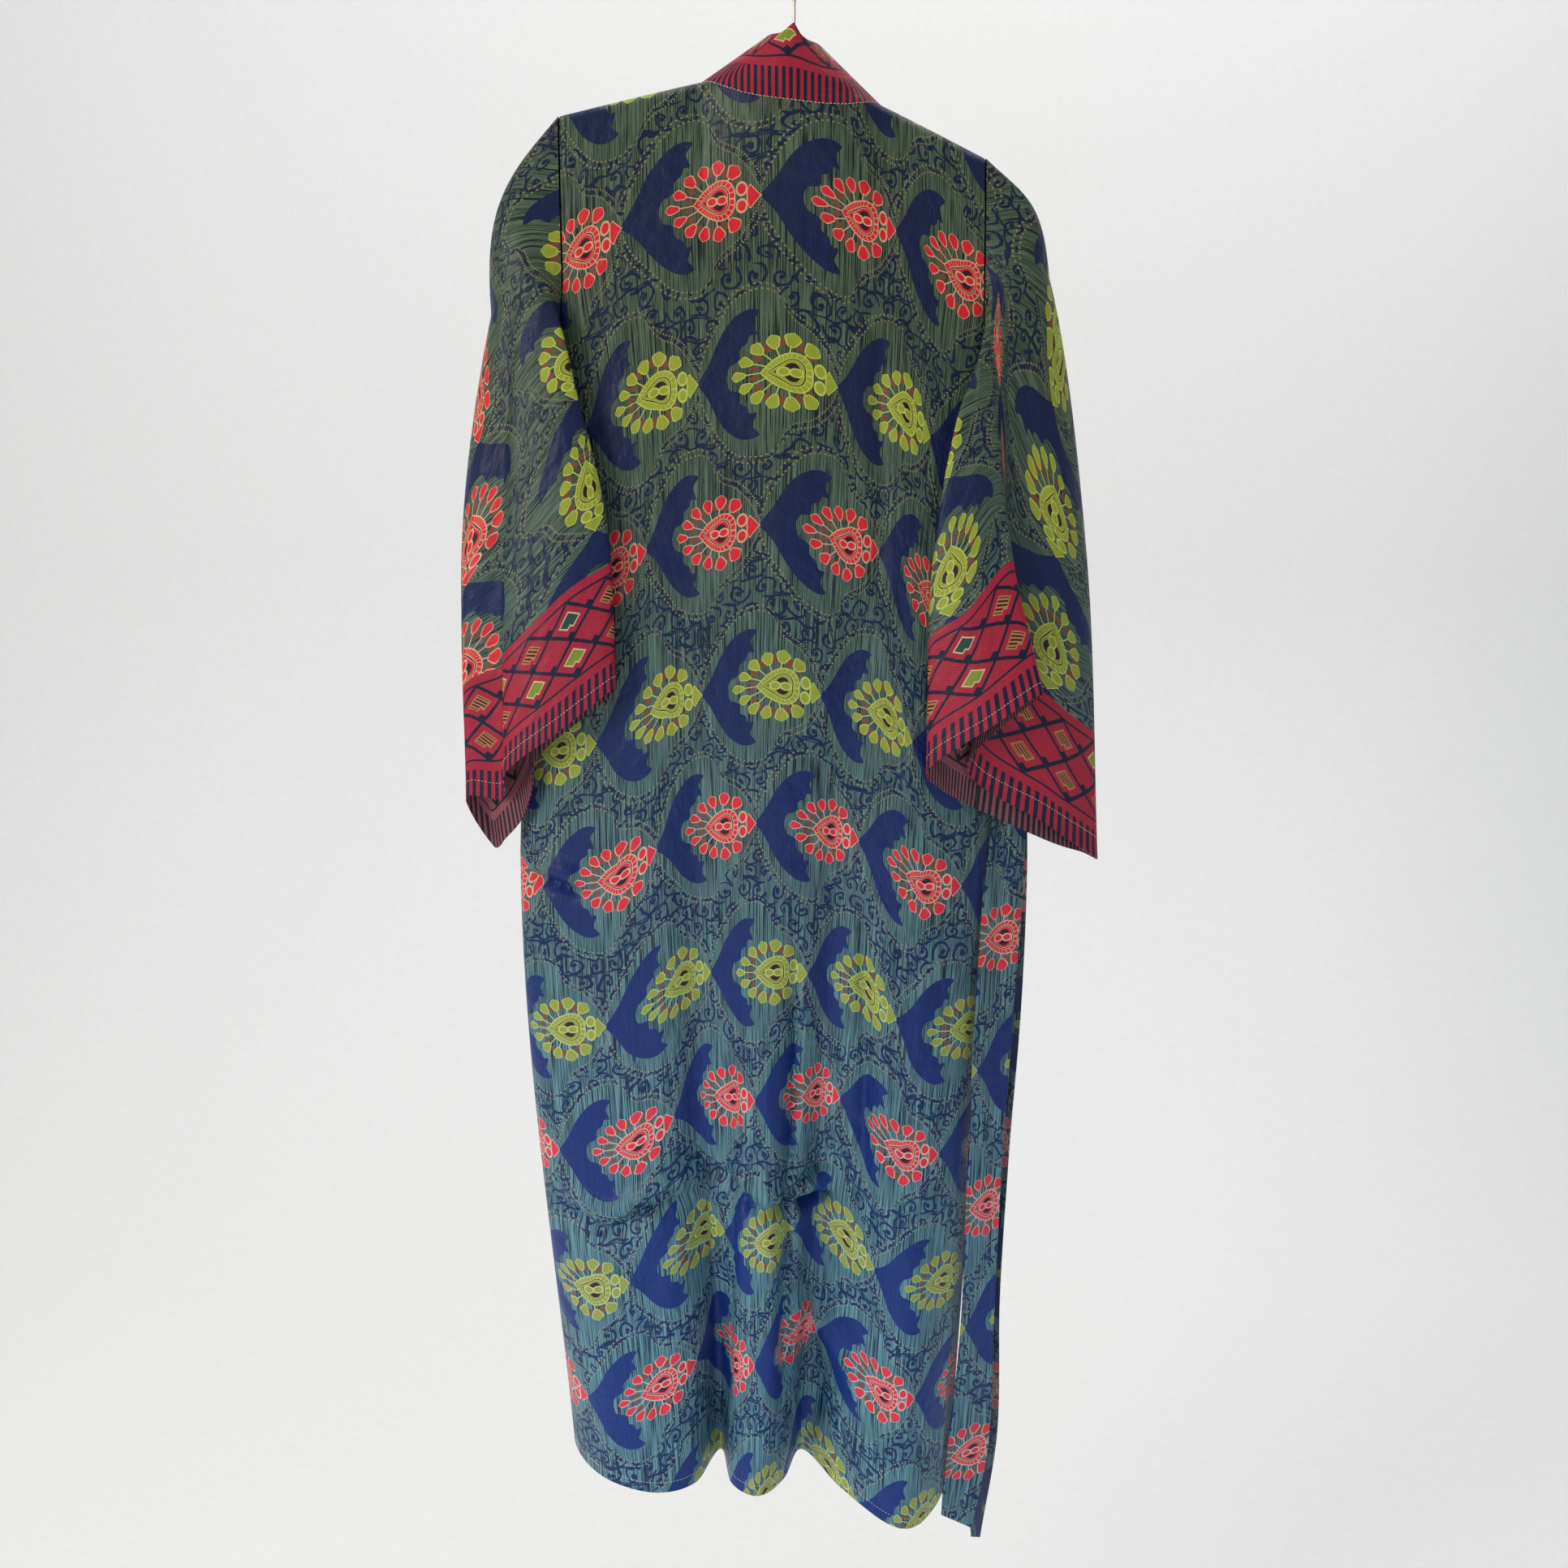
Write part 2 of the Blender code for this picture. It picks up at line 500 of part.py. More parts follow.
def hook():
    """A wire that rises from the bar, bends aside and turns over the crown above the origin."""
    middle = CROOK_INNER + HOOK_WIRE / 2
    foot = SHOULDER_TOP - FOLD_RADIUS + HANGER_RADIUS + HOOK_GAP
    turn = np.radians(np.linspace(0, CROOK_END, CROOK_STATIONS))
    crook = np.stack([middle * np.cos(turn), 0 * turn, middle * np.sin(turn) - CROOK_INNER], axis=-1)
    rise = np.linspace(0.0, 1.0, STEM_STATIONS)[:-1]
    bend_x = middle * smooth(rise)
    bend_z = STEM_TOP + (-CROOK_INNER - STEM_TOP) * rise
    bend = np.stack([bend_x, 0 * rise, bend_z], axis=-1)
    stem = np.array([[0.0, 0.0, foot], [0.0, 0.0, (foot + STEM_TOP) / 2]])
    path = np.concatenate([stem, bend, crook])
    return rod("hook", path, HOOK_WIRE / 2, WIRE_RESOLUTION, steel)


robe = collection_for("kimono_robe")
blue_silk = silk("blue_silk", (0.045, 0.105, 0.115))
red_border = silk("red_border", (0.42, 0.03, 0.06))
pale_wood = finish_of("pale_wood", (0.55, 0.38, 0.22), 0.45, 0.0)
steel = finish_of("hook_steel", (0.62, 0.58, 0.52), 0.3, 1.0)

hanger()
hook()
panel(
    "back",
    lambda drop: armhole_place(-1, drop, False),
    lambda drop: armhole_place(1, drop, False),
    BACK_COLUMNS,
    neckline_drop,
    blue_silk,
)
panel(
    "front_left",
    lambda drop: np.full(drop.shape, place_of("left band seam")),
    lambda drop: armhole_place(-1, drop, True),
    FRONT_COLUMNS,
    shoulder_drop,
    blue_silk,
)
panel(
    "front_right",
    lambda drop: armhole_place(1, drop, True),
    lambda drop: np.full(drop.shape, place_of("right band seam")),
    FRONT_COLUMNS,
    shoulder_drop,
    blue_silk,
)
for name, side, folds in (("sleeve_left", -1, LEFT_SLEEVE), ("sleeve_right", 1, RIGHT_SLEEVE)):
    across = np.arange(0, len(folds), 1 / COLUMNS_A_FOLD)[None, :]
    along = np.linspace(0.0, 1.0, SLEEVE_LEVELS)[:, None]
    cloth_from_grid(name, sleeve_points(side, folds, across, along), blue_silk, closed=True)
neckband()
sash()
belt_loop("belt_loop_left", -1, LEFT_LOOP_SEAT, LEFT_LOOP_REACH)
belt_loop("belt_loop_right", 1, RIGHT_LOOP_SEAT, RIGHT_LOOP_REACH)
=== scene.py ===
"""A long kimono robe of flowered sari silk with a woven lattice border, on its coat hanger."""

import functools
import math

import bpy
import numpy as np
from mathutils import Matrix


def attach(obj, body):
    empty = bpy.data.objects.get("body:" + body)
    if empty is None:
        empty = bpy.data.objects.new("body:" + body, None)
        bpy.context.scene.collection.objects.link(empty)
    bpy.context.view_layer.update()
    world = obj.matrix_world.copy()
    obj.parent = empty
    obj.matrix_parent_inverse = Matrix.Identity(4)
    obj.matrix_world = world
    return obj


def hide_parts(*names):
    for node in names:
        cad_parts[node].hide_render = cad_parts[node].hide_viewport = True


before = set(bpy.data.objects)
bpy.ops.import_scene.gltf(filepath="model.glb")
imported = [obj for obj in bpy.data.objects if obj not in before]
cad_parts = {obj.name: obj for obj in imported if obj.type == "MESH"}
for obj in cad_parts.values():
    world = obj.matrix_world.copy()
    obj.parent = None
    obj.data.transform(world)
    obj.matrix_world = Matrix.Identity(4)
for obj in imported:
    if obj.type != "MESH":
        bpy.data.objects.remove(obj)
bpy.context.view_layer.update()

# The view. A camera in front of the robe's back, a little below its shoulders and turned down
# towards the hem, as the photograph was taken.
VIEW_PLACE = (-0.009, -1.82, -0.2917)
VIEW_DOWN = 14.9
VIEW_LENS = 42.86

lens = bpy.data.cameras.new("view")
lens.lens = VIEW_LENS
lens.sensor_width = 36.0
view = bpy.data.objects.new("view", lens)
view.location = VIEW_PLACE
view.rotation_euler = (math.radians(90 - VIEW_DOWN), 0.0, 0.0)
bpy.context.scene.collection.objects.link(view)
bpy.context.scene.camera = view
bpy.context.scene.view_settings.view_transform = "Standard"

# The studio. One pale sheet of paper makes the floor and, past a wide bend, the wall behind. The
# robe hangs well clear of it, in soft light from a broad window above and a cool one low in front.
FLOOR_HEIGHT = -2.15
WALL_BACK = 2.6
BEND_RADIUS = 1.2
STUDIO_HALF_WIDTH = 6.0
STUDIO_FRONT = -5.0
WALL_TOP = 3.2


def linear(code):
    """The linear colour of an sRGB hex value."""
    parts = np.array([int(code[i : i + 2], 16) for i in (1, 3, 5)]) / 255
    bright = ((parts + 0.055) / 1.055) ** 2.4
    return [*np.where(parts <= 0.04045, parts / 12.92, bright).tolist(), 1.0]


def node(tree, kind, *inputs, curve=None, stops=None, **settings):
    """Adds a node with its settings and links, and gives back its first output in use.

    A kind in capitals is a Math node's operation. inputs are sockets to link, values to set, or
    further nodes as tuples of a kind and its inputs, in the node's order, and None leaves one
    alone. curve is a Float Curve's points, stops a Color Ramp's places and colours.
    """
    if kind.isupper():
        kind, settings["operation"] = "Math", kind
    made = tree.nodes.new("ShaderNode" + kind)
    for name, value in settings.items():
        setattr(made, name, value)
    if curve:
        line = made.mapping.curves[0]
        for _ in range(len(curve) - 2):
            line.points.new(0.5, 0.5)
        for point, place in zip(line.points, curve):
            point.location = place
        made.mapping.update()
    if stops:
        for _ in range(len(stops) - 2):
            made.color_ramp.elements.new(0.5)
        for element, (place, colour) in zip(made.color_ramp.elements, stops):
            element.position = place
            element.color = linear(colour)
    sockets = [socket for socket in made.inputs if socket.enabled]
    for socket, value in zip(sockets, inputs):
        if isinstance(value, tuple) and isinstance(value[0], str):
            value = node(tree, *value)
        if isinstance(value, bpy.types.NodeSocket):
            tree.links.new(value, socket)
        elif value is not None:
            socket.default_value = value
    return next((socket for socket in made.outputs if socket.enabled), None)


def new_material(name):
    """A material, its Principled shader, and node() for its own tree."""
    material = bpy.data.materials.new(name)
    material.use_nodes = True
    tree = material.node_tree
    return material, tree.nodes["Principled BSDF"], functools.partial(node, tree)


def two_tone(name, dark, light, *noise, stretch=None):
    """A material whose colour drifts between two tones, with its shader, node() and noise."""
    material, shader, add = new_material(name)
    place = add("TexCoord").node.outputs["Object"]
    if stretch:
        place = add("Mapping", place, None, None, stretch)
    drift = add("TexNoise", place, *noise)
    tone = add("ValToRGB", drift, stops=[(0.3, dark), (0.7, light)])
    material.node_tree.links.new(tone, shader.inputs["Base Color"])
    return material, shader, add, drift


def grid_faces(rows, columns):
    """The four corners of each cell of a grid of points, numbered along its rows."""
    cell = np.arange(rows * columns).reshape(rows, columns)
    corners = (cell[:-1, :-1], cell[:-1, 1:], cell[1:, 1:], cell[1:, :-1])
    return np.stack([corner.ravel() for corner in corners], axis=1)


def mesh_piece(name, points, faces, material):
    """A mesh object at the origin from points and faces of four corners."""
    mesh = bpy.data.meshes.new(name)
    mesh.vertices.add(len(points))
    mesh.vertices.foreach_set("co", np.asarray(points, np.float32).ravel())
    mesh.loops.add(faces.size)
    mesh.loops.foreach_set("vertex_index", np.asarray(faces, np.int32).ravel())
    mesh.polygons.add(len(faces))
    mesh.polygons.foreach_set("loop_start", np.arange(len(faces), dtype=np.int32) * 4)
    mesh.update(calc_edges=True)
    mesh.materials.append(material)
    mesh.shade_smooth()
    piece = bpy.data.objects.new(name, mesh)
    bpy.context.scene.collection.objects.link(piece)
    return piece


def backdrop():
    """The paper: its profile runs along the floor, round a quarter circle and up the wall."""
    bend = np.linspace(0.0, math.pi / 2, 24)
    floor_y = np.linspace(STUDIO_FRONT, WALL_BACK - BEND_RADIUS, 12)[:-1]
    bend_y = WALL_BACK - BEND_RADIUS + BEND_RADIUS * np.sin(bend)
    bend_z = FLOOR_HEIGHT + BEND_RADIUS * (1 - np.cos(bend))
    wall_z = np.linspace(FLOOR_HEIGHT + BEND_RADIUS, WALL_TOP, 12)[1:]
    y = np.concatenate([floor_y, bend_y, np.full(len(wall_z), WALL_BACK)])
    z = np.concatenate([np.full(len(floor_y), FLOOR_HEIGHT), bend_z, wall_z])
    x = np.linspace(-STUDIO_HALF_WIDTH, STUDIO_HALF_WIDTH, 13)
    points = np.stack(np.broadcast_arrays(x[None, :], y[:, None], z[:, None]), axis=-1)
    return mesh_piece("backdrop", points.reshape(-1, 3), grid_faces(*points.shape[:2]), paper)


def soft_light(name, place, aim, size, power, colour):
    """A square area light turned from its place towards a point."""
    lamp = bpy.data.lights.new(name, "AREA")
    lamp.size = size
    lamp.energy = power
    lamp.color = linear(colour)[:3]
    light = bpy.data.objects.new(name, lamp)
    light.location = place
    along = light.location.copy()
    along.xyz = aim
    light.rotation_euler = (along - light.location).to_track_quat("-Z", "Y").to_euler()
    bpy.context.scene.collection.objects.link(light)


# Matt background paper: a fine, nearly even pale grey
paper, shader, *_ = two_tone("matt_background_paper", "#f8f8f7", "#fbfbfa", 60.0, 3.0)
shader.inputs["Roughness"].default_value = 0.9
backdrop()

soft_light("window", (-2.3, -1.9, 0.1), (0.0, 0.0, -1.15), 1.3, 46.0, "#fffaf2")
soft_light("low_window", (-0.3, -2.6, -1.9), (0.0, 0.0, -1.3), 1.4, 13.0, "#c4dcff")
soft_light("side_window", (2.4, -1.8, -0.5), (0.0, 0.0, -0.9), 1.6, 2.0, "#eef4ff")
soft_light("wall_lamp", (0.6, 1.0, 2.6), (0.3, 2.6, -0.9), 3.0, 75.0, "#ffffff")
room = bpy.data.worlds.new("room")
room.use_nodes = True
room_light = room.node_tree.nodes["Background"]
room_light.inputs["Color"].default_value = linear("#f2f4f6")
room_light.inputs["Strength"].default_value = 0.38
bpy.context.scene.world = room

# The body's drape. The two fronts and the back hang as one tube of cloth from the hanger, open
# down the front. Each fold line runs from the shoulder to the hem. A row gives, in millimetres,
# its x and y under the arms, at the waist and at the hem, and its length.
WALL = 0.0015
LEAST_LEAN = 0.6
SHARP_FOLD = 62
SEAM_GAP = 0.0006
BODY_LENGTH = 1.43
SHOULDER_TOP = -0.102
LEFT_SLOPE = 0.24
RIGHT_SLOPE = 0.50
NECK_ROUND = 0.04
FOLD_RADIUS = 0.0085
SIDE_ROUND = 0.02
NECK_SCOOP = 0.029
NECK_STAND_OFF = 0.022
NECK_EASE = 0.16
SECTION_DROPS = (0.0, 0.32, 0.74, BODY_LENGTH)
BODY_FOLDS = (
    ("left band edge", -8, 40, -8, 48, -14, 70, 1425),
    ("left band seam", -84, 36, -84, 46, -90, 80, 1425),
    ("left front hollow", -128, 34, -132, 36, -128, 46, 1420),
    ("left front ridge", -172, 32, -182, 44, -172, 84, 1415),
    ("left front turn", -218, 22, -242, 28, -210, 56, 1400),
    ("left side seam", -243, 0, -277, 0, -241, 2, 1385),
    ("left turn", -220, -24, -252, -28, -215, -56, 1392),
    ("left ridge", -170, -33, -190, -44, -153, -90, 1408),
    ("left slope", -120, -36, -132, -48, -104, -76, 1418),
    ("left hollow", -86, -36, -96, -43, -78, -26, 1418),
    ("middle rise", -56, -37, -64, -48, -64, -72, 1434),
    ("middle ridge", -10, -38, -22, -52, -36, -92, 1440),
    ("middle fall", 34, -38, 18, -49, -10, -66, 1428),
    ("right hollow", 60, -37, 44, -43, 9, -23, 1410),
    ("right slope", 96, -36, 86, -48, 54, -56, 1420),
    ("right ridge", 140, -33, 136, -48, 116, -92, 1422),
    ("right turn", 184, -24, 180, -30, 154, -60, 1398),
    ("right side seam", 206, 0, 199, 0, 174, -4, 1372),
    ("right front turn", 184, 22, 180, 30, 160, 50, 1385),
    ("right front ridge", 148, 32, 142, 44, 134, 82, 1405),
    ("right front hollow", 114, 34, 110, 36, 106, 46, 1415),
    ("right band seam", 80, 36, 78, 46, 78, 80, 1425),
    ("right band edge", 6, 38, 6, 50, 12, 70, 1425),
)
ARMHOLE_DROPS = (0.0, 0.15, 0.19, 0.23, 0.265, 0.30)
ARMHOLE_CUTS = (0.052, 0.050, 0.044, 0.034, 0.020, 0.0)
SLACK_WIDTHS = (0.034, 0.045, 0.058, 0.071, 0.083, 0.104, 0.127, 0.15, 0.19)
BODY_ROWS = 290


def table_curve(knots, values, at):
    """Smooth values: a cubic through each knot, with the mean slope of its two sides there."""
    knots = np.asarray(knots, float)
    values = np.asarray(values, float)
    at = np.clip(np.asarray(at, float), knots[0], knots[-1])
    step = np.diff(knots)
    rise = np.diff(values, axis=0) / step.reshape((-1,) + (1,) * (values.ndim - 1))
    slope = np.concatenate([rise[:1], (rise[1:] + rise[:-1]) / 2, rise[-1:]])
    cell = np.clip(np.searchsorted(knots, at, side="right") - 1, 0, len(step) - 1)
    shape = at.shape + (1,) * (values.ndim - 1)
    wide = step[cell].reshape(shape)
    t = (at - knots[cell]).reshape(shape) / wide
    return (
        values[cell] * (1 + 2 * t) * (1 - t) ** 2
        + slope[cell] * wide * t * (1 - t) ** 2
        + values[cell + 1] * t * t * (3 - 2 * t)
        + slope[cell + 1] * wide * t * t * (t - 1)
    )


def run_of(path):
    """How far along its path each point lies: the lengths of the steps before it, added up."""
    steps = np.linalg.norm(np.diff(path, axis=0), axis=-1)
    return np.concatenate([np.zeros_like(steps[:1]), np.cumsum(steps, axis=0)])


def smooth(value):
    """0 below 0, 1 above 1, and an even S between."""
    t = np.clip(value, 0.0, 1.0)
    return t * t * (3 - 2 * t)


FOLD_NAMES = [row[0] for row in BODY_FOLDS]
FOLD_PLAN = np.array([row[1:7] for row in BODY_FOLDS]).reshape(-1, 3, 2) / 1000
FOLD_LENGTHS = np.array([row[7] for row in BODY_FOLDS]) / 1000
FOLD_STEPS = np.linalg.norm(np.diff(FOLD_PLAN, axis=0), axis=2).mean(axis=1)
FOLD_PLACES = np.concatenate([[0.0], np.cumsum(FOLD_STEPS)])


def place_of(name):
    """How far round the cloth a named fold line lies."""
    return FOLD_PLACES[FOLD_NAMES.index(name)]


def shoulder_line(x):
    """Height of the shoulder: two slopes that meet in a rounded apex over the hook."""
    steep = (LEFT_SLOPE + RIGHT_SLOPE) / 2
    lean = (RIGHT_SLOPE - LEFT_SLOPE) / 2
    return SHOULDER_TOP - steep * (np.sqrt(x * x + NECK_ROUND**2) - NECK_ROUND) - lean * x


def neck_share(x):
    """0 at the middle of the back neck and 1 at its two corners, where the bands turn forward."""
    left = FOLD_PLAN[FOLD_NAMES.index("left band seam"), 0, 0]
    right = FOLD_PLAN[FOLD_NAMES.index("right band seam"), 0, 0]
    return np.abs(x - (left + right) / 2) / ((right - left) / 2)


def body_points(place, drop):
    """The body's cloth: place is the way round it, drop the length below the shoulder line.

    Between the four sections each fold line is a smooth curve. The cloth leaves the shoulder
    round a fold of FOLD_RADIUS. At the back neck it stands off, behind the wearer's neck.
    """
    place, drop = np.broadcast_arrays(np.asarray(place, float), np.asarray(drop, float))
    plan = table_curve(FOLD_PLACES, FOLD_PLAN, place)
    length = table_curve(FOLD_PLACES, FOLD_LENGTHS, place)
    side = np.clip(plan[..., 0, 1] / SIDE_ROUND, -1, 1)
    top = np.stack([plan[..., 0, 0], side * FOLD_RADIUS], axis=-1)
    weights = table_curve(SECTION_DROPS, np.eye(4), drop)
    sections = np.concatenate([top[..., None, :], plan], axis=-2)
    xy = (sections * weights[..., None]).sum(axis=-2)
    quarter = FOLD_RADIUS * math.pi / 2
    angle = np.minimum(drop / FOLD_RADIUS, math.pi / 2)
    y = xy[..., 1] * np.sin(angle)
    share = neck_share(top[..., 0])
    off = NECK_STAND_OFF * np.clip(1 - share**2, 0, 1) * (1 - smooth(drop / NECK_EASE))
    y = np.where(side < 0, y - off, y)
    fall = FOLD_RADIUS * (1 - np.cos(angle)) + np.maximum(drop - quarter, 0)
    fall = fall + (length - BODY_LENGTH) * (drop / BODY_LENGTH) ** 3
    return np.stack([xy[..., 0], y, shoulder_line(top[..., 0]) - fall], axis=-1)


def side_seam(side):
    """How far round the cloth the left (-1) or the right (1) side seam lies."""
    return place_of("left side seam" if side < 0 else "right side seam")


def armhole_place(side, drop, front):
    """The way round the cloth at which a panel is cut for the armhole."""
    cut = np.interp(drop, ARMHOLE_DROPS, ARMHOLE_CUTS)
    towards = side if front else -side
    return side_seam(side) + towards * (cut + SEAM_GAP / 2)


def facing(points, closed):
    """Which way the cloth faces at each point, and the share that keeps its wall even on a fold.

    The cloth on the two sides of a point counts the same, so a sharp fold isn't pulled one way.
    """
    step = np.diff(points, axis=1, append=points[:, :1])
    before = np.roll(step, 1, axis=1)
    if not closed:
        before[:, 0] = step[:, 0]
        step[:, -1] = before[:, -1]
    down = np.gradient(points, axis=0)
    sides = np.stack([np.cross(down, before), np.cross(down, step)])
    sides /= np.linalg.norm(sides, axis=-1, keepdims=True)
    normal = sides.sum(axis=0)
    normal /= np.linalg.norm(normal, axis=-1, keepdims=True)
    lean = (normal * sides[0]).sum(axis=-1, keepdims=True)
    return normal / np.maximum(lean, LEAST_LEAN)


def cloth_piece(name, middle, chart, material, closed=False):
    """A piece of cloth: two skins half a wall each side of its middle, joined round their rims.

    middle is rows by columns by three. chart is the cloth's flat measure in metres at the same
    points, across the warp and along it, with one more column where the cloth is closed.
    """
    rows, columns = middle.shape[:2]
    wide = chart.shape[1]
    offset = facing(middle, closed) * WALL / 2
    points = np.concatenate([(middle + offset).reshape(-1, 3), (middle - offset).reshape(-1, 3)])
    vertex = np.arange(rows)[:, None] * columns + np.arange(wide)[None, :] % columns
    count = rows * wide
    vertex = np.concatenate([vertex.ravel(), vertex.ravel() + rows * columns])
    skin = grid_faces(rows, wide)
    cell = np.arange(count).reshape(rows, wide)
    rims = [(cell[0], cell[0] + count), (cell[-1] + count, cell[-1])]
    if not closed:
        rims += [(cell[:, 0] + count, cell[:, 0]), (cell[:, -1], cell[:, -1] + count)]
    edges = [np.stack([near[:-1], near[1:], far[1:], far[:-1]], axis=1) for near, far in rims]
    faces = np.concatenate([skin[:, ::-1], skin + count] + edges)
    piece = mesh_piece(name, points, vertex[faces], material)
    mesh = piece.data
    flat = np.concatenate([chart.reshape(-1, 2)] * 2)[faces.ravel()]
    mesh.uv_layers.new(name="cloth").uv.foreach_set("vector", flat.astype(np.float32).ravel())
    inner = np.zeros(len(faces), np.float32)
    inner[len(skin) : 2 * len(skin)] = 1.0
    mesh.attributes.new("wrong_side", "FLOAT", "FACE").data.foreach_set("value", inner)
    mesh.set_sharp_from_angle(angle=math.radians(SHARP_FOLD))
    return piece


def soft_waves(across, along, height, seed):
    """The slack in hanging cloth: nine long waves, each with its own width, lean and place."""
    chance = np.random.default_rng(seed)
    total = np.zeros(np.broadcast(across, along).shape)
    for width in SLACK_WIDTHS:
        lean = chance.uniform(-0.22, 0.22)
        swell = 0.5 + 0.5 * np.sin(along / chance.uniform(0.12, 0.3) + chance.uniform(0, 6.3))
        turn = 2 * math.pi * (across + lean * along) / width + chance.uniform(0, 6.3)
        total = total + swell * np.sin(turn) * width / 0.1
    return height * total / 3


# The silk. An art-silk sari cloth: a teal ground with irregular dark warp threads, and on it in
# rows half a pitch apart red and green flowers, each in a navy crescent, with navy scrolls
# between. The pattern is woven in, so it sits on the cloth's own flat measure.
FLOWER_PITCH = 0.1315
ROW_PITCH = 0.1475
GREEN_DROP = 0.009
CELL_FROM, CELL_TO = -0.085, 0.0465
# Heights over which each dye turns from painted shade to a painted sky reflection
SILK_TOP, SILK_LOW = -0.30, -1.45
WARP_PER_METRE = 1150.0
CURL_STEP = 0.0220
CURL_ROW = 0.0190
CURL_REACH = 0.0104
CURL_TURN_IN = 0.0070
CURL_KNOB = 0.0025
VINE = 0.00125
VINE_STIR = 0.012
STEM_WAVE = 0.0012
STEMS_GROWN = 0.55
# Each dye in painted shade at the shoulders and in a painted reflection of the sky at the hem
DYES_PAINTED_SHADE_TO_SKY = {
    "ground": ("#475642", "#4e7c8c"),
    "pale": ("#5a6d54", "#6c9fac"),
    "warp": ("#0c1519", "#102c48"),
    "navy": ("#111b42", "#12347c"),
    "scroll": ("#0d1938", "#102c60"),
    "dots": ("#8c7c54", "#949a86"),
    "red": ("#d8202c", "#e03850"),
    "green": ("#97a02e", "#93a152"),
    "red line": ("#dda57c", "#e8bcae"),
    "green line": ("#bcc44e", "#c4cd80"),
    "drop": ("#7c452e", "#7a564a"),
    "mark": ("#2b121a", "#3a1c32"),
}
# The beaded lines' distance apart and half width, how many beads go round half a flower and the
# share of their step that each fills. Lengths from here to the rings are in units of 0.1 m
BEAD_ROWS, BEAD_HALF = 0.052, 0.0078
BEADS, BEAD_SHARE = 52.0, 0.42
# The buds: their step round the flower, run, size, growth from one to the next, outline, the
# last one's number and the dark speck in each. Then their stems, and the drops between those
BUD_STEP = 0.145
BUD_RUN = (-0.068, 0.072)
BUD_SIZE, BUD_SWELL, BUD_LINE = 0.088, 0.0045, 0.0105
LAST_BUD = 5.5
SPECK_RUN, SPECK_HALF = (0.028, 0.012), 0.012
STEM_HALF, STEM_END = 0.0055, -0.05
DROP_RADIUS, DROP_SIZE = 0.262, 0.026
# The core's rings, each by its depth inside the edge and its half width
CORE_RINGS = {
    "outer line": (0.004, 0.006),
    "band": (0.032, 0.0225),
    "inner line": (0.059, 0.0045),
    "third line": (0.078, 0.0035),
    "loop": (0.096, 0.014),
}
TICKS, TICK_SHARE = 13.0, 0.16
# Places of the lobes, leaves and crown, in metres
LOBE_MIDDLE, LOBE_APART = 0.004, 0.0054
LEAF_PLACE = (0.0292, 0.0074)
CROWN_FROM, CROWN_TO, CROWN_HALF, CROWN_LINE = 0.0335, 0.0462, 0.0106, 0.0012
# Radii of the flower's parts in units of 0.1 m, by the angle from its crown as a share of 180
CRESCENT_OUTER = (
    (0, 0), (0.598, 0.48), (0.612, 0.585), (0.63, 0.625), (0.675, 0.672), (0.754, 0.697),
    (0.838, 0.712), (0.911, 0.738), (0.969, 0.805), (1, 0.895),
)
CRESCENT_INNER = (
    (0, 1), (0.598, 0.7), (0.614, 0.59), (0.672, 0.532), (0.689, 0.423), (0.725, 0.455),
    (0.77, 0.43), (0.822, 0.455), (0.89, 0.43), (0.941, 0.508), (1, 0.528),
)
CONTOUR = (
    (0, 0.47), (0.167, 0.43), (0.333, 0.45), (0.44, 0.47), (0.494, 0.55), (0.52, 0.66),
    (0.567, 0.76), (0.622, 0.8), (0.683, 0.815), (0.756, 0.8), (0.811, 0.8), (0.905, 0.83),
    (0.972, 0.86), (1, 0.93),
)
BUD_ORDERS = (
    (0, 0.98), (0.253, 0.715), (0.436, 0.572), (0.614, 0.429), (0.766, 0.286), (0.898, 0.143),
    (0.95, 0.072), (1, 0),
)
BUD_RADII = (
    (0, 0.4), (0.167, 0.35), (0.333, 0.313), (0.5, 0.28), (0.667, 0.29), (0.833, 0.312),
    (1, 0.32),
)
BUD_WIDTH = (
    (0, 0), (0.1, 0.26), (0.28, 0.4), (0.48, 0.52), (0.68, 0.6), (0.8, 0.52), (0.9, 0.28),
    (1, 0),
)
CORE_RADIUS = (
    (0, 0.232), (0.12, 0.24), (0.25, 0.228), (0.35, 0.2), (0.5, 0.16), (0.667, 0.146),
    (0.833, 0.158), (0.944, 0.185), (1, 0.212),
)
CROWN_WIDTH = (
    (0, 0.2), (0.12, 0.72), (0.28, 1), (0.4, 0.84), (0.6, 0.56), (0.8, 0.28), (1, 0),
)


def tones_with_painted_light(add, dyes, painted_light_share):
    """Each dye, in painted shade at the shoulders and a painted sky reflection at the hem."""
    return {
        name: add("Mix", painted_light_share, linear(top), linear(low), data_type="RGBA")
        for name, (top, low) in dyes.items()
    }


def painted(add, colour, *coats):
    """Coats of colour laid over one another, each where its mask is 1."""
    for mask, coat in coats:
        colour = add("Mix", mask, colour, coat, data_type="RGBA")
    return colour


def joined(add, operation, *masks):
    """Masks taken into one: MAXIMUM shows where any of them is, MULTIPLY where all are."""
    return functools.reduce(lambda one, other: add(operation, one, other), masks)


def distance(add, x, y, scale=(1.0, 1.0)):
    """How far a place lies from the middle of an oval, once both ways are scaled."""
    spot = add("VectorMath", ("CombineXYZ", x, y), (*scale, 0.0), operation="MULTIPLY")
    return add("VectorMath", spot, operation="LENGTH")


def threads(add, cloth, squeeze, scale, detail):
    """Noise in streaks that run along the warp."""
    drawn_out = add("VectorMath", cloth, (1.0, squeeze, 1.0), operation="MULTIPLY")
    return add("TexNoise", drawn_out, scale, detail, noise_dimensions="2D")


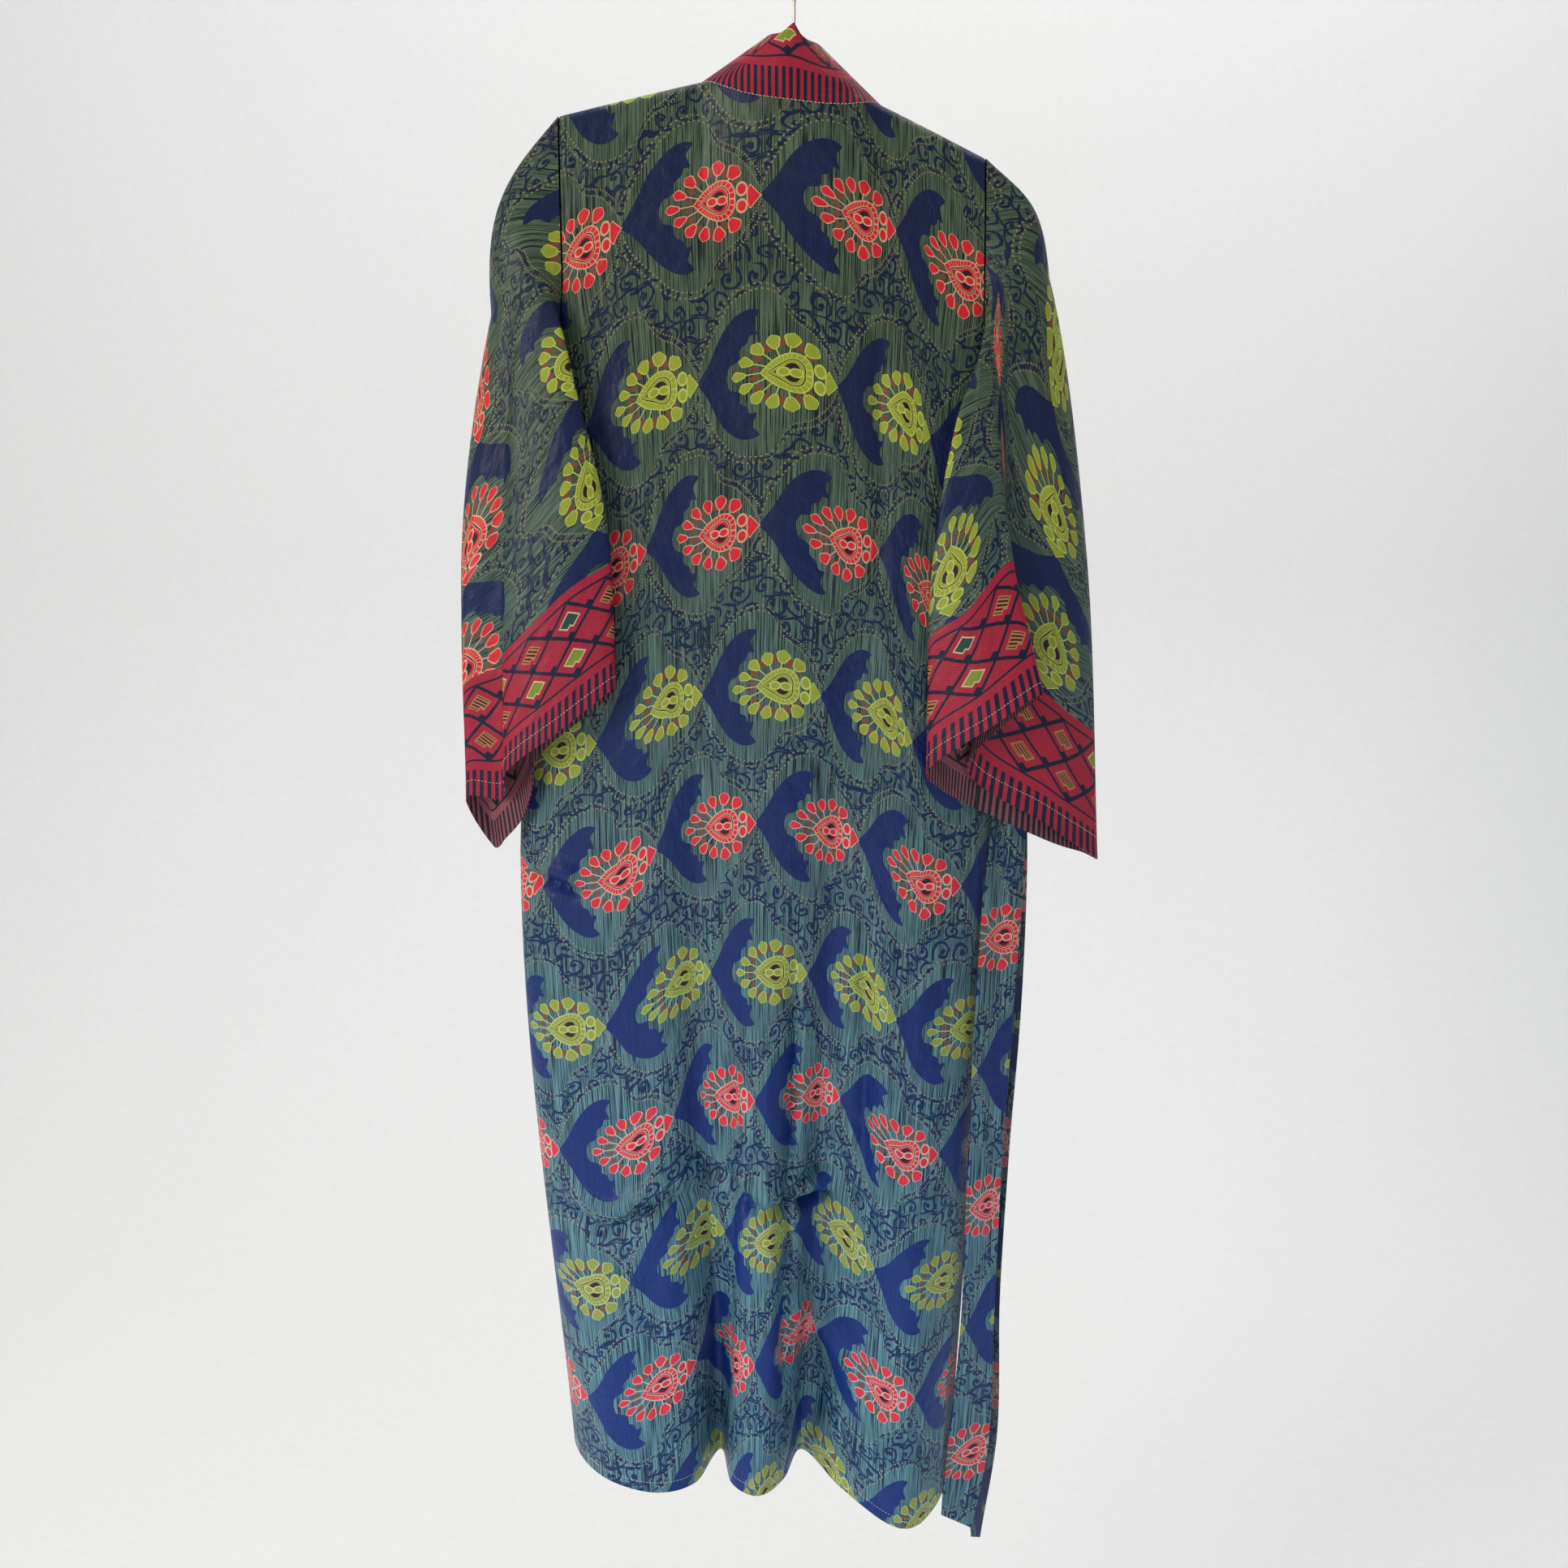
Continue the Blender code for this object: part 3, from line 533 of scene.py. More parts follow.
def flower_place(add, u, v, row, odd):
    """A place counted from a row's nearest flower: across, side, radius and angle share."""
    across = add("WRAP", ("MULTIPLY_ADD", odd, FLOWER_PITCH / 2, u), CELL_TO, CELL_FROM)
    level = add("MULTIPLY_ADD", odd, GREEN_DROP, ("MULTIPLY", row, ROW_PITCH))
    side = add("ABSOLUTE", ("SUBTRACT", v, level))
    radius = add("MULTIPLY", distance(add, across, side), 10.0)
    return across, side, radius, add("DIVIDE", ("ARCTAN2", side, across), math.pi)


def contour(add, radius, turn):
    """The two beaded lines round a flower and its crescent, and all that lies inside them."""
    line = add("FloatCurve", 1.0, turn, curve=CONTOUR)
    away = add("ABSOLUTE", ("ADD", ("SUBTRACT", radius, line), -BEAD_ROWS / 2))
    near = add("COMPARE", away, BEAD_ROWS / 2, BEAD_HALF)
    bead = add("LESS_THAN", ("FRACT", ("MULTIPLY", turn, BEADS)), BEAD_SHARE)
    return add("MULTIPLY", near, bead), add("LESS_THAN", radius, line)


def scrolls(add, cloth):
    """Navy vines: a curl in each cell of staggered rows, and wavy stems between some of them.

    Each curl has its own hand and turn. Its line is at CURL_REACH from its centre at its outer
    end, and comes in by CURL_TURN_IN as it goes once round to a knob.
    """
    stir = add("TexNoise", cloth, 36.0, 1.0, noise_dimensions="2D").node.outputs["Color"]
    bent = add("VectorMath", stir, (VINE_STIR, VINE_STIR, 0.0), cloth, operation="MULTIPLY_ADD")
    parts = add("SeparateXYZ", bent).node.outputs
    rows = add("MULTIPLY", parts["Y"], 1 / CURL_ROW)
    row = add("ROUND", rows)
    odd = add("FLOORED_MODULO", row, 2.0)
    above = add("MULTIPLY", ("SUBTRACT", rows, row), CURL_ROW)
    place = add("MULTIPLY_ADD", odd, 0.5, ("MULTIPLY", parts["X"], 1 / CURL_STEP))
    number = add("ROUND", place)
    beside = add("MULTIPLY", ("SUBTRACT", place, number), CURL_STEP)
    chance = add("TexWhiteNoise", ("CombineXYZ", number, row), noise_dimensions="2D")
    chance = add("SeparateColor", chance.node.outputs["Color"]).node.outputs
    turned = add("MULTIPLY", beside, ("SIGN", ("SUBTRACT", chance["Red"], 0.5)))
    turn = add("MULTIPLY_ADD", ("ARCTAN2", above, turned), 0.5 / math.pi, chance["Green"])
    line = add("MULTIPLY_ADD", ("FRACT", turn), -CURL_TURN_IN, CURL_REACH)
    radius = distance(add, turned, above)
    wave = add("COSINE", ("MULTIPLY", beside, 2 * math.pi / CURL_STEP))
    wave = add("MULTIPLY_ADD", wave, -STEM_WAVE, CURL_ROW / 2 - STEM_WAVE)
    stem = add("COMPARE", ("ABSOLUTE", above), wave, VINE)
    grown = add("LESS_THAN", chance["Blue"], STEMS_GROWN)
    curl = add("COMPARE", radius, line, VINE)
    knob = add("LESS_THAN", radius, CURL_KNOB)
    return joined(add, "MAXIMUM", curl, knob, ("MULTIPLY", stem, grown))


def blossom(add, across, side, radius, turn):
    """The flower as masks: filled parts, outlines, dark marks, brown drops and light ticks.

    Buds stand BUD_STEP apart round an almond core, with a crown of three at its head. Lengths
    are in units of 0.1 m, apart from across and side.
    """
    order = add("MULTIPLY", add("FloatCurve", 1.0, turn, curve=BUD_ORDERS), 7.0)
    bud = add("ROUND", order)
    held = add("LESS_THAN", order, LAST_BUD)
    bud_radius = add("FloatCurve", 1.0, ("DIVIDE", bud, 6.0), curve=BUD_RADII)
    outwards = add("DIVIDE", radius, bud_radius)
    aside = add("MULTIPLY", ("SUBTRACT", order, bud), outwards)
    aside = add("ABSOLUTE", ("MULTIPLY", aside, BUD_STEP))
    within = add("SUBTRACT", radius, bud_radius)
    along = add("MapRange", within, *BUD_RUN, 0.0, 1.0)
    half = add("FloatCurve", 1.0, along, curve=BUD_WIDTH)
    half = add("MULTIPLY", half, ("MULTIPLY_ADD", bud, BUD_SWELL, BUD_SIZE))
    room = add("SUBTRACT", half, aside)
    bud_all = add("MULTIPLY", ("GREATER_THAN", room, 0.0), held)
    bud_fill = add("MULTIPLY", ("GREATER_THAN", room, BUD_LINE), held)
    speck = add("COMPARE", within, *SPECK_RUN)
    speck = joined(add, "MULTIPLY", ("LESS_THAN", aside, SPECK_HALF), speck, held)
    # Stems to the core, and drops between them
    core_radius = add("FloatCurve", 1.0, turn, curve=CORE_RADIUS)
    depth = add("SUBTRACT", core_radius, radius)
    outside = add("GREATER_THAN", ("DIVIDE", radius, core_radius), 1.0)
    stem = add("MULTIPLY", ("LESS_THAN", aside, STEM_HALF), ("LESS_THAN", within, STEM_END))
    stem = joined(add, "MULTIPLY", stem, outside, held)
    between = add("SUBTRACT", ("MULTIPLY", outwards, BUD_STEP / 2), aside)
    drop = distance(add, between, ("SUBTRACT", radius, DROP_RADIUS), (1.0, 0.62))
    drop = add("MULTIPLY", ("LESS_THAN", drop, DROP_SIZE), held)
    # Core: rings by their depth inside its edge, ticks across the widest, and two lobes
    rings = {name: add("COMPARE", depth, *ring) for name, ring in CORE_RINGS.items()}
    tick = add("LESS_THAN", ("FRACT", ("MULTIPLY", turn, TICKS)), TICK_SHARE)
    tick = add("MULTIPLY", tick, rings["band"])
    lobe = add("ABSOLUTE", ("SUBTRACT", across, LOBE_MIDDLE))
    lobe = distance(add, ("SUBTRACT", lobe, LOBE_APART), side, (175.0, 262.0))
    # Crown: two leaves and a broad pointed bud
    leaf = [("SUBTRACT", way, place) for way, place in zip((across, side), LEAF_PLACE)]
    leaf = distance(add, *leaf, (200.0, 165.0))
    crown = add("MapRange", across, CROWN_FROM, CROWN_TO, 0.0, 1.0)
    crown = add("MULTIPLY", add("FloatCurve", 1.0, crown, curve=CROWN_WIDTH), CROWN_HALF)
    crown = add("SUBTRACT", crown, side)
    crown_all, crown_fill = (
        add("MULTIPLY", ("GREATER_THAN", crown, edge), ("GREATER_THAN", across, CROWN_FROM + edge))
        for edge in (0.0, CROWN_LINE)
    )
    # Gather the parts
    solid = add("MAXIMUM", ("LESS_THAN", lobe, 0.78), ("LESS_THAN", leaf, 0.76))
    solid = joined(add, "MAXIMUM", solid, rings.pop("band"), rings.pop("loop"))
    bud_line = add("SUBTRACT", bud_all, bud_fill)
    crown_line = add("SUBTRACT", crown_all, crown_fill)
    line = add("MAXIMUM", ("COMPARE", lobe, 0.95, 0.17), ("COMPARE", leaf, 0.92, 0.16))
    line = joined(add, "MAXIMUM", line, bud_line, crown_line, stem, *rings.values())
    fill = joined(add, "MAXIMUM", bud_fill, crown_fill, solid)
    dark = add("MAXIMUM", ("SUBTRACT", ("GREATER_THAN", depth, 0.0), solid), speck)
    return fill, line, dark, drop, tick


def sari_colour(add, cloth, painted_light_share):
    """The colour of the flowered cloth at a place of its flat measure."""
    # Every dye turns from painted shade at the top to a painted sky reflection at the hem
    tones = tones_with_painted_light(add, DYES_PAINTED_SHADE_TO_SKY, painted_light_share)
    parts = add("SeparateXYZ", cloth).node.outputs
    u, v = parts["X"], parts["Y"]
    # Ground: light threads with dark ones among them, 2 to 5 mm apart and broken along the warp
    streak = threads(add, cloth, 0.012, WARP_PER_METRE, 2.0)
    chance = threads(add, cloth, 0.08, 300.0, 1.0)
    dark_thread = ("MapRange", ("MULTIPLY_ADD", chance, 0.3, streak), 0.69, 0.725, 0.0, 1.0)
    pale_thread = ("MapRange", streak, 0.50, 0.38, 0.0, 1.0)
    # The row of this place, and the nearest other row, whose contour may reach in
    rows = add("DIVIDE", v, ROW_PITCH)
    row = add("ROUND", rows)
    odd = add("FLOORED_MODULO", row, 2.0)
    next_row = add("ADD", row, ("SIGN", ("SUBTRACT", rows, row)))
    across, side, radius, turn = flower_place(add, u, v, row, odd)
    next_place = flower_place(add, u, v, next_row, ("SUBTRACT", 1.0, odd))
    dots, inside = contour(add, radius, turn)
    next_dots, next_inside = contour(add, *next_place[2:])
    plain = add("MAXIMUM", inside, next_inside)
    vine = add("SUBTRACT", scrolls(add, cloth), plain, use_clamp=True)
    # The crescent behind the flower, scalloped round its buds
    outer = add("FloatCurve", 1.0, turn, curve=CRESCENT_OUTER)
    inner = add("FloatCurve", 1.0, turn, curve=CRESCENT_INNER)
    crescent = ("MULTIPLY", ("GREATER_THAN", radius, inner), ("LESS_THAN", radius, outer))
    weave = ("MapRange", streak, 0.35, 0.65, 0.82, 1.18)
    navy = add("HueSaturation", None, None, weave, None, tones["navy"])
    fill, line, dark, drop, tick = blossom(add, across, side, radius, turn)
    fill_dye = painted(add, tones["red"], (odd, tones["green"]))
    line_dye = painted(add, tones["red line"], (odd, tones["green line"]))
    return painted(
        add,
        tones["ground"],
        (pale_thread, tones["pale"]),
        (dark_thread, tones["warp"]),
        (vine, tones["scroll"]),
        (("MAXIMUM", dots, next_dots), tones["dots"]),
        (crescent, navy),
        (drop, tones["drop"]),
        (dark, tones["mark"]),
        (fill, fill_dye),
        (tick, line_dye),
        (line, line_dye),
    )


def finish_silk(add, shader, cloth, colour):
    """Thread relief, sheen and the duller wrong side, which every piece of the cloth shares."""
    inner = add("Attribute", attribute_name="wrong_side").node.outputs["Fac"]
    dull = add("HueSaturation", None, 0.72, 0.62, None, colour)
    # Threads are about 0.2 mm: ribs of 1.5 mm and slack of a few centimetres stand in for them
    ribs = threads(add, cloth, 0.12, 640.0, 2.0)
    slack = add("TexNoise", cloth, 38.0, 3.0, noise_dimensions="2D")
    low = add("Bump", 0.5, 0.006, None, slack)
    both = add("Bump", 0.35, 0.0005, None, ribs, low)
    gloss = add("MapRange", ribs, 0.3, 0.7, 0.40, 0.56)
    links = shader.id_data.links
    links.new(painted(add, colour, (inner, dull)), shader.inputs["Base Color"])
    links.new(both, shader.inputs["Normal"])
    links.new(gloss, shader.inputs["Roughness"])
    shader.inputs["Specular IOR Level"].default_value = 0.28
    shader.inputs["Sheen Weight"].default_value = 0.03
    shader.inputs["Sheen Roughness"].default_value = 0.42
    shader.inputs["Sheen Tint"].default_value = linear("#b9d6e8")


def painted_light_ramp(add):
    """0 at the shoulders, in painted shade, and 1 at the hem, in a painted sky reflection."""
    place = add("TexCoord").node.outputs["Object"]
    height = add("SeparateXYZ", place).node.outputs["Z"]
    ends = (height, SILK_TOP, SILK_LOW, 0.0, 1.0)
    return add("MapRange", *ends, interpolation_type="SMOOTHSTEP")


def flowered_silk(name, shift):
    """The sari cloth without its border, moved so that its flowers fall as they were cut."""
    material, shader, add = new_material(name)
    cloth = add("Mapping", add("UVMap", uv_map="cloth"), (*shift, 0.0))
    # The colour turns from painted shade at the shoulders to a painted sky reflection at the hem
    finish_silk(add, shader, cloth, sari_colour(add, cloth, painted_light_ramp(add)))
    return material


# The back. One panel, cut in from the sides at the armholes and scooped at the neck, with its
# warp running down. It hangs in three broad folds, with creases where it was kept folded. A row
# of CREASES is a ridge or, below zero, a trough, in millimetres: its height, its half width on
# either side of its run, and its run in x and z.
BACK_COLUMNS = 160
BODY_SLACK = 0.0011
TOP_HELD, RIM_HELD = 0.06, 0.04
SLACK_FROM, SLACK_GROWS = 0.1, 0.5
RUN_POINTS, RUN_FADE, END_HEIGHT = 48, 0.2, 0.15
FLAT_DROPS = (0.12, 0.42, 0.72, 1.01, 1.30)
# A row is one column of flowers: its number, and in millimetres its place in the cloth at the
# five drops and how far its flowers are lifted there
FLOWER_COLUMNS = (
    (-1.0, 222, 262, 272, 273, 276, -30, -40, -40, -40, -40),
    (-0.5, 285, 322, 336, 339, 342, -30, -35, -40, -40, -44),
    (0.0, 345, 383, 394, 394, 399, -15, -22, -40, -32, -13),
    (0.5, 412, 428, 446, 455, 461, 2, -4, -4, 5, 15),
    (1.0, 493, 495, 506, 511, 519, 1, -8, -2, 5, 3),
    (1.5, 555, 554, 553, 555, 556, 0, -3, -1, 6, 16),
    (2.0, 629, 616, 613, 614, 610, -1, -8, 2, 14, 34),
    (2.5, 687, 674, 663, 658, 652, 6, 2, 5, 18, 28),
    (3.0, 746, 716, 717, 707, 703, -8, -22, -16, -11, 13),
    (3.5, 795, 775, 778, 766, 745, 0, 2, 4, 6, 24),
    (4.0, 850, 835, 838, 828, 806, 0, 0, 0, 0, 20),
)
FIRST_ROW_DROP = 0.113
EASE_SHIFTS = (-0.024, -0.012, 0.0, 0.012, 0.024)
CREASES = (
    ("left hollow line", -10, 7, 11, (-61, -960), (-63, -1200), (-70, -1350), (-72, -1500)),
    ("left of hollow", 5, 14, 12, (-90, -1020), (-92, -1250), (-100, -1460)),
    ("middle crest", 5, 12, 10, (-26, -1000), (-27, -1220), (-26, -1480)),
    ("hidden edge", -11, 4, 11, (6, -900), (4, -1050), (-1, -1250), (-5, -1480)),
    ("right dark line", -9.5, 9, 7, (70, -880), (72, -1020), (70, -1200)),
    ("right crest", 5.5, 14, 14, (92, -920), (95, -1100), (92, -1300)),
    ("right broad", 5.5, 22, 22, (116, -1200), (112, -1350), (106, -1500)),
    ("slack line", -12, 4.5, 10, (-247, -1212), (-232, -1224), (-193, -1240),
     (-178, -1231), (-156, -1216), (-134, -1210), (-96, -1196)),
    ("slack roll", 9, 9, 9, (-240, -1192), (-190, -1216), (-150, -1192), (-92, -1172)),
    ("swag line", -12, 4.5, 9, (-92, -1160), (-78, -1181), (-58, -1196), (-30, -1212),
     (-6, -1210), (6, -1196), (22, -1182), (52, -1186)),
    ("swag roll", 9, 9, 9, (-70, -1150), (-50, -1178), (-28, -1192), (-6, -1188)),
    ("pocket", -13, 5, 8, (4, -1213), (22, -1216), (42, -1211)),
    ("pocket lip", 9, 7, 7, (8, -1200), (24, -1199), (40, -1202)),
    ("flare edge", 7, 10, 12, (-4, -1325), (22, -1360), (52, -1395), (84, -1470)),
    ("flare hollow", -7, 12, 12, (20, -1380), (26, -1430), (18, -1500)),
    ("upper right line", -4.5, 10, 10, (79, -330), (83, -460), (82, -600)),
    ("upper middle", 1.8, 26, 26, (-12, -240), (-18, -600), (-26, -860)),
    ("upper left", -1.8, 20, 20, (-128, -300), (-118, -500), (-110, -740)),
    ("pinch", -10, 5, 7, (-276, -866), (-240, -870), (-205, -880)),
    ("pinch roll", 7, 9, 7, (-274, -846), (-240, -853), (-214, -866)),
    ("left long", 3, 18, 18, (-206, -1280), (-192, -1400), (-180, -1520)),
    ("left long hollow", -4.5, 14, 14, (-150, -1260), (-146, -1380), (-140, -1500)),
    ("seam pull", -2, 6, 6, (190, -950), (150, -1020), (120, -1100)),
)


def relief(points, creases):
    """How far cloth stands out at each point: soft ridges and troughs along their runs.

    Each falls off as a bell across its run, with its own half width on either side, and fades
    out over the first and last fifth of it.
    """
    spot = points[..., None, [0, 2]]
    total = np.zeros(points.shape[:-1])
    for _, height, before, after, *knots in creases:
        knots = np.array(knots) / 1000
        run = run_of(knots)
        share = np.linspace(0.0, 1.0, RUN_POINTS)
        line = table_curve(run, knots, share * run[-1])
        ahead = np.gradient(line, axis=0)
        gap = spot - line
        nearest = (gap**2).sum(axis=-1).argmin(axis=-1)
        gap = np.take_along_axis(gap, nearest[..., None, None], axis=-2)[..., 0, :]
        ahead = ahead[nearest]
        side = ahead[..., 0] * gap[..., 1] - ahead[..., 1] * gap[..., 0]
        width = np.where(side > 0, before, after) / 1000
        bell = np.exp(-(gap**2).sum(axis=-1) / width**2)
        ends = smooth(share[nearest] / RUN_FADE) * smooth((1 - share[nearest]) / RUN_FADE)
        total += height / 1000 * bell * (END_HEIGHT + (1 - END_HEIGHT) * ends)
    return total


def body_chart(place, drop):
    """The body cloth's flat measure: flower columns across, and length below the shoulder."""
    table = np.array(FLOWER_COLUMNS)
    table[:, 1:] /= 1000
    number = table[:, 0]
    knots = table_curve(FLAT_DROPS, table[:, 1:6].T, drop)
    lifts = table_curve(FLAT_DROPS, table[:, 6:11].T, drop)
    least = np.zeros(len(number) - 1)
    most = np.ones(len(number) - 1)
    least[0], most[-1] = -np.inf, np.inf
    column = 0.0
    for shift in EASE_SHIFTS:
        share = (place[..., None] + shift - knots[..., :-1]) / np.diff(knots, axis=-1)
        column = column + number[0] + (np.clip(share, least, most) * np.diff(number)).sum(axis=-1)
    column = column / len(EASE_SHIFTS)
    near = np.clip(1 - np.abs(np.clip(column, -1, 4)[..., None] - number) / 0.5, 0, 1)
    along = drop - FIRST_ROW_DROP + (near * lifts).sum(axis=-1)
    return np.stack([column * FLOWER_PITCH, along], axis=-1)


def panel(name, first_edge, last_edge, columns, start, material, creases, shift, seed):
    """A panel between two edges, each given by its place for a drop, with its creases."""
    turn = np.linspace(0.0, 1.0, 6)[:-1] * FOLD_RADIUS * math.pi / 2
    drops = np.concatenate([turn, np.linspace(FOLD_RADIUS * math.pi / 2, BODY_LENGTH, BODY_ROWS)])
    share = np.linspace(0.0, 1.0, columns + 1)[None, :]
    first, last = first_edge(drops)[:, None], last_edge(drops)[:, None]
    place = first + (last - first) * share
    begin = start(place)
    drop = begin + drops[:, None] * (BODY_LENGTH - begin) / BODY_LENGTH
    points = body_points(place, drop)
    rim = smooth(share / RIM_HELD) * smooth((1 - share) / RIM_HELD)
    held = smooth((drop - begin) / TOP_HELD) * rim
    loose = smooth((drop - SLACK_FROM) / SLACK_GROWS)
    lift = relief(points, creases) if creases else 0.0
    lift = lift + soft_waves(place, drop, BODY_SLACK, seed) * loose
    points = points + facing(points, False) * (lift * held)[..., None]
    chart = body_chart(place, drop) + np.array(shift)
    return cloth_piece(name, points, chart, material)


def neckline_drop(place):
    """How far below the shoulder line the back starts: the scoop, and half a seam."""
    share = neck_share(table_curve(FOLD_PLACES, FOLD_PLAN[:, 0, 0], place))
    return SEAM_GAP / 2 + NECK_SCOOP * np.clip(1 - share**2, 0, 1)


body_silk = flowered_silk("flowered_sari_silk", (0.0, 0.0))
back = panel(
    "back_cloth",
    lambda drop: armhole_place(-1, drop, False),
    lambda drop: armhole_place(1, drop, False),
    BACK_COLUMNS,
    neckline_drop,
    body_silk,
    CREASES,
    (0.0, 0.0),
    4,
)
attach(back, "root")
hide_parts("back")

# The fronts. Two narrower panels of the same cloth, sewn to the back at the shoulders and sides.
# Their inner edges are joined to the neckband from the shoulder to the hem.
FRONT_COLUMNS = 44
FRONT_CREASES = (
    ("left long", 3.5, 14, 18, (-172, -500), (-180, -850), (-176, -1200)),
    ("left low", -3.5, 12, 16, (-130, -950), (-128, -1200), (-126, -1450)),
    ("right long", 3.5, 16, 12, (140, -550), (142, -900), (138, -1250)),
    ("right low", -3.5, 14, 12, (108, -900), (106, -1150), (104, -1420)),
    ("waist line", -3, 7, 10, (-236, -1100), (-200, -1130), (-150, -1120)),
    ("knee line", -3, 8, 7, (170, -1180), (140, -1210), (100, -1200)),
)


def shoulder_drop(place):
    """The fronts start at the shoulder line, half a seam below it."""
    return np.full(np.shape(place), SEAM_GAP / 2)


front_left = panel(
    "front_left_cloth",
    lambda drop: np.full(drop.shape, place_of("left band seam")),
    lambda drop: armhole_place(-1, drop, True),
    FRONT_COLUMNS,
    shoulder_drop,
    body_silk,
    FRONT_CREASES,
    (0.03, 0.06),
    9,
)
front_right = panel(
    "front_right_cloth",
    lambda drop: armhole_place(1, drop, True),
    lambda drop: np.full(drop.shape, place_of("right band seam")),
    FRONT_COLUMNS,
    shoulder_drop,
    body_silk,
    FRONT_CREASES,
    (-0.03, -0.04),
    12,
)
for piece, cad_node, width, area in (
    (front_left, "front_left", 0.205, 0.266),
    (front_right, "front_right", 0.16, 0.20),
):
    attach(piece, "root")
    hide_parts(cad_node)

# The border. The sari's selvedge, woven with bars of red and navy, a band of red, and a lattice
# whose cells hold stepped notched squares. It finishes the cuffs and makes the neckband. Its
# measure runs inwards from the selvedge.
BAR_DEPTH = 0.0275
BAR_PITCH = 0.0065
RED_THREAD = 0.0016
LATTICE_FROM, LATTICE_CELL = 0.0385, 0.038
LATTICE_TO = LATTICE_FROM + 2 * LATTICE_CELL
LATTICE_SHEAR = 0.14
LINE_HALF = 0.0011
NET_TEETH, TOOTH, NET_HALF = 26.0, 0.016, 0.046
SQUARE_HALF, NOTCH, SQUARE_EDGE = 0.27, 0.13, 0.045
BORDER_DEPTH = 0.1255
# Each border dye in painted shade at the shoulders and in a painted sky reflection at the hem
BORDER_DYES_PAINTED_SHADE_TO_SKY = {
    "red": ("#8c1428", "#9a1c34"),
    "light red": ("#c02c46", "#c83550"),
    "navy": ("#10142c", "#172246"),
    "teal": ("#27443c", "#2e5854"),
    "lime": ("#7b9030", "#82963c"),
    "orange": ("#b87446", "#c08458"),
    "cream": ("#dcb582", "#dfbf92"),
    "warp": ("#0c1018", "#101828"),
}


def border_colour(add, cloth, painted_light_share):
    """The colour of the border, and where it lies: u runs back from the selvedge below zero."""
    # Every dye turns from painted shade at the top to a painted sky reflection at the hem
    tones = tones_with_painted_light(add, BORDER_DYES_PAINTED_SHADE_TO_SKY, painted_light_share)
    parts = add("SeparateXYZ", cloth).node.outputs
    depth = add("MULTIPLY", parts["X"], -1.0)
    along = parts["Y"]
    # Red of two tones, in fine slanting threads
    slant = add("DIVIDE", ("MULTIPLY_ADD", along, 0.7, depth), RED_THREAD)
    slant = add("MapRange", ("PINGPONG", slant, 0.5), 0.12, 0.34, 0.0, 0.75)
    red = painted(add, tones["red"], (slant, tones["light red"]))
    # Bars at right angles to the edge, and two navy lines that hold the lattice
    beat = add("FRACT", ("DIVIDE", along, BAR_PITCH))
    bar = add("MULTIPLY", ("LESS_THAN", beat, 0.5), ("LESS_THAN", depth, BAR_DEPTH))
    low_line = ("COMPARE", depth, LATTICE_FROM - LINE_HALF, LINE_HALF)
    high_line = ("COMPARE", depth, LATTICE_TO + LINE_HALF, LINE_HALF)
    # Lattice cells: p counts them inwards and q along, and each line is a diagonal of both
    p = add("MapRange", depth, LATTICE_FROM, LATTICE_TO, 0.0, 2.0, clamp=False)
    q = add("MULTIPLY_ADD", p, LATTICE_SHEAR, ("DIVIDE", along, LATTICE_CELL))
    rise, fall = add("ADD", p, q), add("SUBTRACT", p, q)
    rise_cell, fall_cell = add("FLOOR", rise), add("FLOOR", fall)
    rise_in = add("SUBTRACT", ("SUBTRACT", rise, rise_cell), 0.5)
    fall_in = add("SUBTRACT", ("SUBTRACT", fall, fall_cell), 0.5)
    # The net, and a square of navy in the corner of each cell that points to the selvedge
    net = add("MINIMUM", ("PINGPONG", rise, 0.5), ("PINGPONG", fall, 0.5))
    saw = add("FRACT", ("MULTIPLY", q, NET_TEETH))
    net = add("LESS_THAN", net, ("MULTIPLY_ADD", saw, TOOTH, NET_HALF))
    corner = add("MAXIMUM", rise_in, fall_in)
    net = add("MAXIMUM", net, ("LESS_THAN", corner, -SQUARE_HALF))
    # Notched squares, in the cells whose middles lie a quarter and three quarters of the way in
    rows = add("FLOORED_MODULO", ("ADD", rise_cell, fall_cell), 2.0)
    held = add("LESS_THAN", rows, 0.5)
    square = add("MAXIMUM", ("ABSOLUTE", rise_in), ("ABSOLUTE", fall_in))
    square = add("MINIMUM", ("ADD", corner, NOTCH), ("SUBTRACT", SQUARE_HALF, square))
    whole = ("MULTIPLY", ("GREATER_THAN", square, 0.0), held)
    core = ("MULTIPLY", ("GREATER_THAN", square, SQUARE_EDGE), held)
    chance = add("TexWhiteNoise", ("CombineXYZ", rise_cell, fall_cell), noise_dimensions="2D")
    lime = ("GREATER_THAN", chance, 0.68)
    striped = add("LESS_THAN", chance, 0.36)
    stripe = ("LESS_THAN", ("PINGPONG", ("MULTIPLY", rise_in, 9.0), 0.5), 0.24)
    bands = painted(add, tones["orange"], (stripe, tones["warp"]))
    fill = painted(add, tones["teal"], (lime, tones["lime"]), (striped, bands))
    edge = painted(add, tones["cream"], (striped, tones["orange"]))
    # Put the border together
    lattice = painted(add, red, (net, tones["navy"]), (whole, edge), (core, fill))
    past = ("GREATER_THAN", depth, LATTICE_FROM)
    in_lattice = ("MULTIPLY", past, ("LESS_THAN", depth, LATTICE_TO))
    lines = joined(add, "MAXIMUM", low_line, high_line, bar)
    colour = painted(add, red, (in_lattice, lattice), (lines, tones["navy"]))
    return colour, add("LESS_THAN", depth, BORDER_DEPTH)


